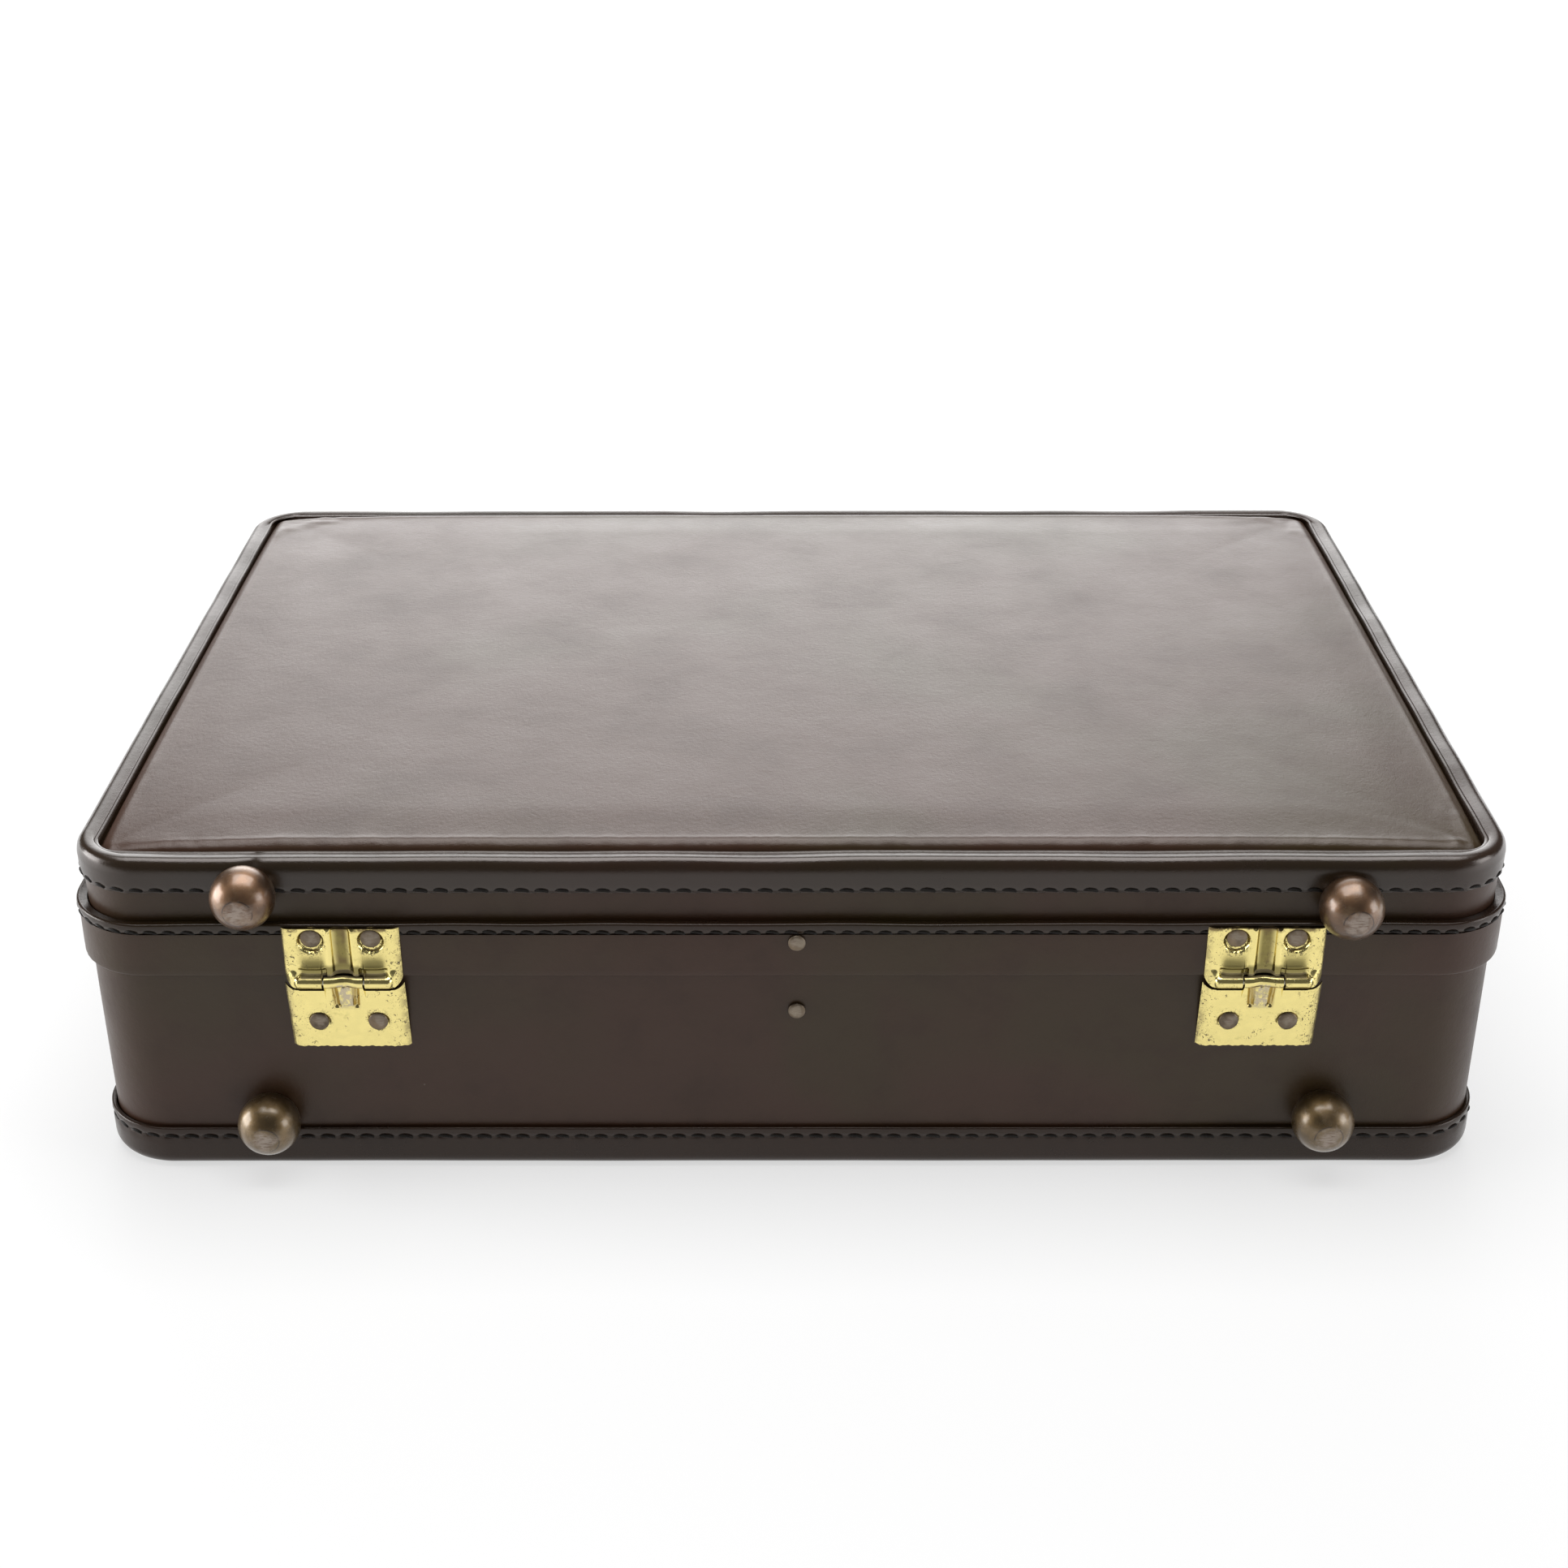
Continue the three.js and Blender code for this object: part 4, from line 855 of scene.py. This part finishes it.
make_base_side()
make_lid_side()
make_rim()
make_band()
make_bottom_binding()
stitches("rim_stitches", RIM_FACE_INSET + 0.3, RIM_STITCH_Z, RIM_PITCH, "lid", seed=21)
stitches("hem_stitches", HEM_FACE_INSET + 0.35, HEM_STITCH_Z, HEM_PITCH, "lid", seed=22)
stitches("binding_stitches", BINDING_FACE_INSET + 0.3, BINDING_STITCH_Z, BINDING_PITCH, "base", seed=23)


# ---------- padded lid panel ----------
PANEL_EDGE = 8.7
PANEL_ROLL = 4.5
PANEL_CORNER = 4.5
CLOTH_FRAMES = 20


def blown_sheet(half_x, half_y, spacing, pressure, slack, cap):
    """A cloth sheet held at its border and blown up from below. Returns its grid and the height of each point."""
    xs = np.linspace(-half_x, half_x, round(2 * half_x / spacing) + 1)
    ys = np.linspace(-half_y, half_y, round(2 * half_y / spacing) + 1)
    x, y = (a.ravel() for a in np.meshgrid(xs, ys, indexing="ij"))
    start = 0.15 * waves(np.column_stack([x, y]), 40, 30)
    start *= smooth((half_x - np.abs(x)) / 20) * smooth((half_y - np.abs(y)) / 20)
    points = np.column_stack([x, y, start])
    sheet = mesh_object("panel_cloth", points, grid_faces(len(xs), len(ys)), panel_leather, 180)
    held = sheet.vertex_groups.new(name="held")
    border = (half_x - np.abs(x) < 0.01) | (half_y - np.abs(y) < 0.01)
    held.add([int(i) for i in np.flatnonzero(border)], 1.0, "REPLACE")
    cloth = sheet.modifiers.new("Cloth", "CLOTH")
    settings = cloth.settings
    settings.quality = 6
    settings.mass = 0.2
    settings.tension_stiffness = 20
    settings.compression_stiffness = 20
    settings.shear_stiffness = 8
    settings.bending_stiffness = 0.4
    settings.shrink_min = -slack
    settings.use_pressure = True
    settings.uniform_pressure_force = pressure
    settings.vertex_group_mass = "held"
    settings.effector_weights.gravity = 0
    scene = bpy.context.scene
    cloth.point_cache.frame_start = 1
    cloth.point_cache.frame_end = CLOTH_FRAMES
    for number in range(1, CLOTH_FRAMES + 1):
        scene.frame_set(number)
    blown = sheet.evaluated_get(bpy.context.evaluated_depsgraph_get())
    height = np.array([v.co.z for v in blown.data.vertices]) / MM
    scene.frame_set(1)
    bpy.data.objects.remove(sheet)
    height = cap * np.tanh(np.maximum(height, 0) / cap)
    return xs, ys, height.reshape(len(xs), len(ys))


def sampled(grid, x, y):
    """The height of a grid at any place, smoothly between its points."""
    xs, ys, height = grid
    i = np.clip((x - xs[0]) / (xs[1] - xs[0]), 0, len(xs) - 1.001)
    j = np.clip((y - ys[0]) / (ys[1] - ys[0]), 0, len(ys) - 1.001)
    a, b = i.astype(int), j.astype(int)
    u, v = smooth(i - a), smooth(j - b)
    near = height[a, b] * (1 - v) + height[a, b + 1] * v
    far = height[a + 1, b] * (1 - v) + height[a + 1, b + 1] * v
    return near * (1 - u) + far * u


def calmed(height, passes):
    """A copy of a grid of heights, evened out with its neighbours, its border kept."""
    height = height.copy()
    for _ in range(passes):
        rows = height[:-2] + 2 * height[1:-1] + height[2:]
        height[1:-1, 1:-1] = (rows[:, :-2] + 2 * rows[:, 1:-1] + rows[:, 2:]) / 16
    return height


def make_panel():
    """Leather over a thin pad, blown up as cloth. Its edges roll down into the crease beside the rim, and folds run
    in from its corners."""
    half_x = HALF_WIDTH - PANEL_EDGE
    half_y = HALF_DEPTH - PANEL_EDGE

    def spread(half, coarse):
        """Points along an axis: close together on the roll at each end, and even between."""
        ends = half - 12 + 12 * (1 - (1 - np.linspace(0, 1, 19)) ** 1.6)
        middle = np.linspace(-(half - 12), half - 12, round(2 * (half - 12) / coarse) + 1)
        return np.concatenate([-ends[::-1], middle[1:-1], ends])

    xs, ys = spread(half_x, 1.7), spread(half_y, 1.7)
    x, y = (a.ravel() for a in np.meshgrid(xs, ys, indexing="ij"))
    flat = np.column_stack([x, y])
    side_x, side_y = half_x - np.abs(x), half_y - np.abs(y)
    edge, _ = edge_distance(side_x, side_y, PANEL_CORNER)
    t = np.clip(edge / PANEL_ROLL, 0, 1)
    rise = np.sqrt(np.clip(1 - (1 - t) ** 2, 0, 1))
    xs_blown, ys_blown, blown = blown_sheet(half_x, half_y, 4.0, 5.0, 0.012, 2.2)
    pillow = sampled((xs_blown, ys_blown, blown), x, y)
    even = sampled((xs_blown, ys_blown, calmed(blown, 30)), x, y)
    pillow += (even - pillow) * np.exp(-(np.hypot(half_x + x, half_y + y) / 70) ** 4)
    from_corner = np.maximum(side_x, side_y)
    crest = 2.2 + 2.9 * (1 - np.exp(-from_corner / 22))
    piped = 0.22 * np.exp(-((edge - 3.4) / 1.3) ** 2) - 0.45 * (1 - smooth((edge - 5) / 20))
    piped *= smooth(from_corner / 40)
    height = LID_SEAT_Z + 0.6 + crest * rise + 0.62 * pillow * smooth((edge + 5) / 12)
    height += piped * smooth(edge / 3) + 0.45 * (1 - (x / half_x) ** 2) * (1 - (y / half_y) ** 2)
    height += 0.05 * waves(flat, 110, 31) * smooth(edge / 25)

    # folds that leave each corner: [angle from the short side, length, depth, width]
    folds = {(-1, -1): [(80, 66, 0.2, 2.2), (62, 40, 0.08, 3.0)],
             (1, -1): [(47, 40, 0.26, 1.8), (70, 30, 0.16, 3.0)],
             (-1, 1): [(72, 44, 0.34, 2.4), (35, 30, 0.12, 3.0)],
             (1, 1): [(60, 40, 0.26, 2.4), (30, 34, 0.12, 3.0)]}
    for (sx, sy), lines in folds.items():
        dx, dy = half_x - 2 - sx * x, half_y - 2 - sy * y
        for angle, length, depth, width in lines:
            a = math.radians(angle)
            along = dx * math.sin(a) + dy * math.cos(a)
            across = -dx * math.cos(a) + dy * math.sin(a) + 0.0045 * along ** 2
            fade = smooth(along / 7) * np.exp(-np.maximum(along, 0) / (length * 0.5))
            spread_out = width * (0.6 + along.clip(0) / 40)
            height -= depth * fade * np.exp(-(across / spread_out) ** 2)
            height += 0.6 * depth * fade * np.exp(-((across + 1.7 * spread_out) / (1.3 * spread_out)) ** 2)

    # short gathers square to the near edge, fading inwards
    near = np.exp(-np.maximum(half_y + y - 4, 0) / 3.0) * smooth((half_y + y) / 3)
    line = np.column_stack([x, (half_y + y) * 0.1])
    height += (0.06 * waves(line, 3.9, 41, 12) + 0.05 * waves(line, 7.5, 42, 9)) * near

    rows, columns = len(xs), len(ys)
    top = np.column_stack([x, y, height])
    border = border_of(rows, columns)
    skirt = top[border].copy()
    skirt[:, 2] = LID_SEAT_Z
    points = np.concatenate([top, skirt, [[0, 0, LID_SEAT_Z]]])
    faces = grid_faces(rows, columns)
    start, count = len(top), len(border)
    for k in range(count):
        n = (k + 1) % count
        faces.append([border[k], start + k, start + n, border[n]])
        faces.append([len(points) - 1, start + n, start + k])
    panel = mesh_object("padded_lid_panel", points, faces, panel_leather, 70)
    place(panel, "lid", "body_leather", "lid_panel")


make_panel()


# ---------- rear hinges ----------
KNUCKLE_RADIUS = 1.95
MIDDLE_HALF = 6.2  # half the width of the lower leaf's knuckle
EAR_X, EAR_Z = 14.2, 74.3  # where the leaves' rounded corners turn
UPPER_HALF, UPPER_TOP_Z, UPPER_OUT = 18.1, 90.9, 4.1
LOWER_HALF, LOWER_FOOT_Z, LOWER_OUT = 18.5, 46.9, 1.55
BEND_Z = 70.2  # where the lower leaf meets its knuckle
UPPER_DISH, LOWER_DISH = 4.2, 3.7


def pressed_sheet(half, edges, out_at, thickness=0.7, step=0.26):
    """A pressed leaf: a sheet between two edge lines, whose distance out of the wall is a field over it."""
    us = np.linspace(-half, half, round(2 * half / step) + 1)
    low, high = edges(us)
    ts = np.linspace(0, 1, round((high.max() - low.min()) / step) + 1)
    x = np.repeat(us, len(ts))
    z = (low[:, None] + (high - low)[:, None] * ts[None, :]).ravel()
    out = out_at(x, z)
    front = np.column_stack([x, REAR_Y - out, z])
    back = np.column_stack([x, REAR_Y - out + thickness, z])
    return closed_sheet(front, back, len(us), len(ts))


def barrel(z, radius):
    """How far out of the wall a tube round the pin reaches at a height, or far behind where it has ended."""
    inside = radius ** 2 - (z - HINGE_Z) ** 2
    return np.where(inside > 0, HINGE_OUT + np.sqrt(np.clip(inside, 0, None)), -9.0)


def rolled_side(side, start, radius):
    """How far a leaf's long side falls back as it is rolled towards the wall."""
    t = np.clip((side - start) / radius, 0, 0.97)
    return radius * (1 - np.sqrt(1 - t ** 2))


def upper_leaf(x, z):
    """How far the upper leaf stands out: two swells over a step, a channel between ridges, a dish round each rivet,
    the barrel, and an ear at each end of it."""
    side = np.abs(x)
    out = np.full_like(x, UPPER_OUT)
    swell = np.clip((83.6 - z) / 6.3, 0, 1) ** 2 * np.exp(-np.abs((side - 9.2) / 4.5) ** 4)
    out += 1.5 * swell
    ledge = smooth((77.7 - z) / 1.3) * smooth((side - 4.8) / 0.6) * (1 - smooth((side - 12.6) / 1.8))
    out -= 1.15 * ledge
    channel = 1.45 * np.sqrt(np.clip(1 - (side / 2.95) ** 2, 0, 1))
    ridge = 0.6 * np.exp(-((side - 3.8) / 0.75) ** 2)
    out += (ridge - 0.8 * channel) * smooth((91.2 - z) / 1.0)
    gap = np.hypot(side - RIVET_X, z - UPPER_RIVET_Z - 0.55)
    out -= 1.2 * np.clip((UPPER_DISH - gap) / 0.8, 0, 1)
    knuckle = barrel(z, KNUCKLE_RADIUS + 0.1)
    knuckle -= 2.6 * smooth((side - 13.2) / 3.2) ** 2
    out = np.maximum(out, knuckle)
    ear = smooth((side - 12.9) / 2.2) * smooth((77.5 - z) / 4.0)
    lifted = UPPER_OUT + 1.1 * ear * (1 - smooth((side - 15.0) / 3.0))
    out += np.maximum(lifted - out, 0) * smooth(ear * 2)
    return out - rolled_side(side, 15.6, 3.2)


def upper_edges(x):
    side = np.abs(x)
    into = np.clip(side - EAR_X, 0, 3.99)
    low = EAR_Z - np.sqrt(16 - into ** 2) + 0.02
    low = np.where(side < MIDDLE_HALF + 0.2, 74.45, low)
    return low, np.full_like(x, UPPER_TOP_Z)


def lower_leaf(x, z):
    """How far the lower leaf stands out: it leans outwards to its knuckle, with a dish round each rivet and a tongue
    between two slots."""
    side = np.abs(x)
    out = LOWER_OUT + (z - LOWER_FOOT_Z) / (BEND_Z - LOWER_FOOT_Z) * 3.0
    gap = np.hypot(side - RIVET_X, z - LOWER_RIVET_Z)
    out -= 0.3 * np.clip((LOWER_DISH - gap) / 0.6, 0, 1)
    slots = np.exp(-((side - 3.3 - 0.06 * (z - 66)) / 0.75) ** 2) * smooth((z - 61.8) / 1.4)
    out -= 0.95 * slots * (1 - smooth((z - 70.6) / 1.0))
    tongue = (1 - smooth((side - 1.7) / 0.8)) * smooth((z - 61.5) / 3.0)
    out += 0.55 * tongue * (1 - smooth((z - 69.0) / 2.5))
    knuckle = barrel(z, KNUCKLE_RADIUS + 0.05) - 0.9 * np.exp(-(side / 2.6) ** 2)
    middle = (side < MIDDLE_HALF + 0.05) & (z > BEND_Z + 0.15)
    out = np.where(middle, np.maximum(out - 1.5, knuckle), out)
    return out - rolled_side(side, 15.2, 4.6)


def lower_edges(x):
    side = np.abs(x)
    into = np.clip(side - EAR_X, 0, 4.4)
    high = np.where(side > EAR_X, EAR_Z - np.sqrt(5.2 ** 2 - into ** 2), 68.9)
    high = np.where(side < MIDDLE_HALF - 0.15, 74.1, high)
    low = LOWER_FOOT_Z - 0.2 + 0.12 * np.sin(x * 1.3) + 0.1 * np.sin(x * 3.1 + 1)
    return low, high


def make_hinge(side):
    centre = HINGE_X[side]
    for name, body, half, edges, field in (("upper", "lid", UPPER_HALF, upper_edges, upper_leaf),
                                           ("lower", "base", LOWER_HALF, lower_edges, lower_leaf)):
        points, faces = pressed_sheet(half, edges, field)
        points[:, 0] += centre
        leaf = mesh_object(f"hinge_{side}_{name}", points, faces, hinge_brass[side], 38)
        place(leaf, body, "bright_brass", f"hinge_{side}_{name}_leaf")


for side in ("left", "right"):
    make_hinge(side)


# ---------- rivets and feet ----------
UPPER_RAISED, LOWER_RAISED = 1.4, 0.4  # how far the hinges' rivets stand above the CAD's
UPPER_SUNK = 0.9
HEAD_HEIGHT, STEM_RADIUS = 1.0, 1.5
TIP_WEAR = 3.4  # radius of the worn flat on a foot's tip
NECK_ANGLE = 128
FOOT_TONES = {"foot_lid_left": (0.17, 0.092, 0.048), "foot_lid_right": (0.13, 0.072, 0.038)}


def head_profile(radius, height, stem_radius, stem):
    """A low domed head on a stem, as [radius, out]."""
    profile = [[0, height]]
    profile += [[radius * 0.55, height * 0.97], [radius * 0.8, height * 0.85]]
    for a in np.radians(np.linspace(60, 0, 5)):
        profile.append([radius - 0.28 + 0.28 * math.cos(a), height * 0.45 + 0.3 * math.sin(a)])
    profile += [[radius - 0.05, 0], [stem_radius, 0], [stem_radius, -stem], [0, -stem]]
    return profile


def make_rivet(node, name, body, radius, raised=0.0, sunk=0.0):
    low, high = box_mm(node)
    x, _, z = (low + high) / 2
    z += raised
    seat = low[1] + HEAD_HEIGHT + sunk
    points, faces = lathe(head_profile(radius, HEAD_HEIGHT, STEM_RADIUS, high[1] - seat), 36)
    points[:, 1] *= -1
    points += np.array([x, seat, z])
    spot = (x + 0.4, seat - HEAD_HEIGHT, z + 0.5)
    look = browned(f"{name}_finish", spot, (0.17, 0.13, 0.09), (0.26, 0.22, 0.17), 0.6, 3.0, lacquer=0.2)
    rivet = mesh_object(name, points, faces, look, 45)
    place(rivet, body, "aged_brass", node)


for side in ("left", "right"):
    for spot in ("outer", "inner"):
        node, name = f"hinge_{side}_{{}}_rivet_{spot}", f"rivet_{side}_{{}}_{spot}"
        make_rivet(node.format("upper"), name.format("upper"), "lid", 3.2, UPPER_RAISED, UPPER_SUNK)
        make_rivet(node.format("lower"), name.format("lower"), "base", 3.05, LOWER_RAISED)
make_rivet("centre_rivet_lid", "rivet_centre_lid", "lid", 2.7)
make_rivet("centre_rivet_base", "rivet_centre_base", "base", 2.7)


def make_foot(node, name, body):
    """A ball stud with a small worn flat at its tip, standing on a collar."""
    low, high = box_mm(node)
    x, _, z = (low + high) / 2
    radius = (high[0] - low[0]) / 2
    tip = REAR_Y - low[1]
    centre = tip - math.sqrt(radius ** 2 - TIP_WEAR ** 2)
    profile = [[0, tip], [TIP_WEAR * 0.6, tip - 0.02], [TIP_WEAR * 0.94, tip - 0.1]]
    first = math.degrees(math.asin(TIP_WEAR * 1.06 / radius))
    for a in np.radians(np.linspace(first, NECK_ANGLE, 26)):
        profile.append([radius * math.sin(a), centre + radius * math.cos(a)])
    neck, neck_out = profile[-1]
    inner = REAR_Y - high[1]
    profile += [[neck * 0.98, neck_out - 0.4], [2.0, neck_out - 0.5], [2.0, inner], [0, inner]]
    points, faces = lathe(profile, 56)
    points[:, 1] *= -1
    points += np.array([x, REAR_Y, z])
    tone = FOOT_TONES.get(node, (0.16, 0.105, 0.045))
    look = browned(f"{name}_finish", (x + 0.2, REAR_Y - tip, z - 0.6), tone)
    place(mesh_object(name, points, faces, look, 60), body, "aged_brass", node)


for part in ("lid", "base"):
    for side in ("left", "right"):
        make_foot(f"foot_{part}_{side}", f"ball_foot_{part}_{side}", part)


# ---------- padding, strap, springs and grip ----------
STRAP_THICKNESS = 1.3
SPRING_WIRE = 0.25


def make_cushion():
    """The felt-covered pad under the lid, blown down as cloth inside the lid's wall and sewn in at its border."""
    low, high = box_mm("lid_cushion")
    half_x, half_y = high[0] - 0.2, high[1] - 0.2
    seam = low[2] + 4.6
    xs = np.linspace(-half_x, half_x, 131)
    ys = np.linspace(-half_y, half_y, 89)
    x, y = (a.ravel() for a in np.meshgrid(xs, ys, indexing="ij"))
    side_x, side_y = half_x - np.abs(x), half_y - np.abs(y)
    corner = CORNER_RADIUS - INNER_INSET
    edge, reach = edge_distance(side_x, side_y, corner)
    squeeze = np.where(reach > corner, corner / np.maximum(reach, 1e-6), 1)
    centre_x, centre_y = np.sign(x) * (half_x - corner), np.sign(y) * (half_y - corner)
    outside = reach > corner
    x = np.where(outside, centre_x + (x - centre_x) * squeeze, x)
    y = np.where(outside, centre_y + (y - centre_y) * squeeze, y)
    roll = np.sqrt(np.clip(1 - (1 - np.clip(edge / 9, 0, 1)) ** 2, 0, 1))
    pillow = sampled(blown_sheet(half_x, half_y, 6.0, 5.0, 0.02, 2.6), x, y)
    rumple = 0.12 * waves(np.column_stack([x, y]), 34, 51) * smooth(edge / 12)
    crown = (1 - (x / half_x) ** 2) * (1 - (y / half_y) ** 2)
    face = seam - 2.3 * roll - 0.75 * pillow * smooth(edge / 14) - 2.2 * crown + rumple
    top = high[2] - 0.1
    under = np.column_stack([x, y, face])
    over = np.column_stack([x, y, np.full(len(x), top)])
    points, faces = closed_sheet(under, over, len(xs), len(ys))
    cushion = mesh_object("lid_pad", points, faces, lining_felt, 60)
    place(cushion, "lid", "lining_felt", "lid_cushion")


def make_strap():
    """The slack leather strap inside the rear wall, bowed out at the hinge line between its two rivets."""
    low, high = box_mm("centre_strap")
    wall_y, slack_y = low[1] + 0.1, high[1] - 0.1
    heights = np.linspace(low[2], high[2], 70)
    middle = (heights - HINGE_Z) / 7.5
    back = wall_y + (slack_y - STRAP_THICKNESS - wall_y) * np.exp(-middle ** 2)
    half = (high[0] - low[0]) / 2
    turn = full_turn(24)
    across = half * squared(np.cos(turn), 0.35)
    through = STRAP_THICKNESS / 2 * (1 + squared(np.sin(turn), 0.5))
    centre = (low[0] + high[0]) / 2
    rows = [np.column_stack([centre + across, y + through, np.full(len(turn), z)]) for y, z in zip(back, heights)]
    strap = mesh_object("rear_strap", *tube(rows), trim_leather, 50)
    outwards(strap)
    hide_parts("centre_strap")
    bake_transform(strap)


def make_spring(side):
    """A lock's coil spring, at its full length along the CAD spring's box, riding on the base."""
    low, high = box_mm(f"lock_{side}_bolt_spring")
    centre = (low + high) / 2
    wire = SPRING_WIRE
    coil = (high[2] - low[2]) / 2 - wire
    steps, turns = 150, 5
    t = np.linspace(0, 1, steps)
    angle = 2 * math.pi * turns * t
    line = np.column_stack([low[0] + wire + (high[0] - low[0] - 2 * wire) * t, centre[1] + coil * np.cos(angle),
                            centre[2] + coil * np.sin(angle)])
    ahead = np.gradient(line, axis=0)
    ahead /= np.linalg.norm(ahead, axis=1)[:, None]
    out = np.column_stack([np.zeros(steps), np.cos(angle), np.sin(angle)])
    up = np.cross(ahead, out)
    round_wire = full_turn(8)
    rows = [line[k] + wire * (np.outer(np.cos(round_wire), out[k]) + np.outer(np.sin(round_wire), up[k]))
            for k in range(steps)]
    spring = mesh_object(f"bolt_spring_{side}", *tube(rows), plain_steel, 60)
    place(spring, "base", "steel_parts", f"lock_{side}_bolt_spring")
    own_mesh(spring)


def make_grip():
    """The leather handle: a padded bar that thins and rises to wrap each ring."""
    low, high = box_mm("handle_grip")
    half, middle_y = high[0], (low[1] + high[1]) / 2
    depth = (high[1] - low[1]) / 2
    xs = half * np.sin(np.linspace(-math.pi / 2, math.pi / 2, 111))
    side = np.abs(xs) / half
    end = np.sqrt(np.clip(1 - ((side - 0.9) / 0.1).clip(0) ** 2, 0.02, 1))
    rise = smooth((side - 0.5) / 0.34)
    foot = low[2] + 1.0 + 6.5 * smooth((side - 0.72) / 0.28) ** 1.5
    top = high[2] - 4.6 + 4.4 * rise
    turn = full_turn(40)
    power = 0.62
    rows = []
    for x, narrow, bottom, upper in zip(xs, end, foot, top):
        y = middle_y + (depth - 0.1) * narrow * squared(np.cos(turn), power)
        tall = (upper - bottom) / 2 * (0.35 + 0.65 * narrow)
        z = (upper + bottom) / 2 + tall * squared(np.sin(turn), power)
        rows.append(np.column_stack([np.full(len(turn), x), y, z]))
    grip = mesh_object("leather_grip", *tube(rows), trim_leather, 60)
    place(grip, "handle", "binding_leather", "handle_grip")


make_grip()
make_cushion()
make_strap()
make_spring("left")
make_spring("right")


# ---------- CAD nodes that keep their shape ----------
SOFT_EDGES = {"binding_leather": 1.0, "tray_walnut": 0.5, "bright_brass": 0.3, "aged_brass": 0.2,
              "steel_parts": 0.12}
OTHER_EDGES = 0.25


def softened(node, width):
    """Small rounded edges that catch the light."""
    bevel = node.modifiers.new("soft_edges", "BEVEL")
    bevel.width = width * MM
    bevel.segments = 2
    bevel.limit_method = "ANGLE"
    bevel.angle_limit = math.radians(40)
    bevel.harden_normals = False


def finish_nodes():
    looks = {
        "bright_brass": bright_brass, "aged_brass": bright_brass, "steel_parts": plain_steel,
        "body_leather": body_leather, "binding_leather": trim_leather, "frame_board": raw_board,
        "lining_felt": lining_felt, "tray_walnut": walnut,
    }
    for row in frame["record"]["subparts"]:
        node = frame["nodes"][row["node"]]
        for item in node.material_slots:
            item.material = looks[row["material_slot"]]
        if not node.hide_render:
            softened(node, SOFT_EDGES.get(row["material_slot"], OTHER_EDGES))


finish_nodes()
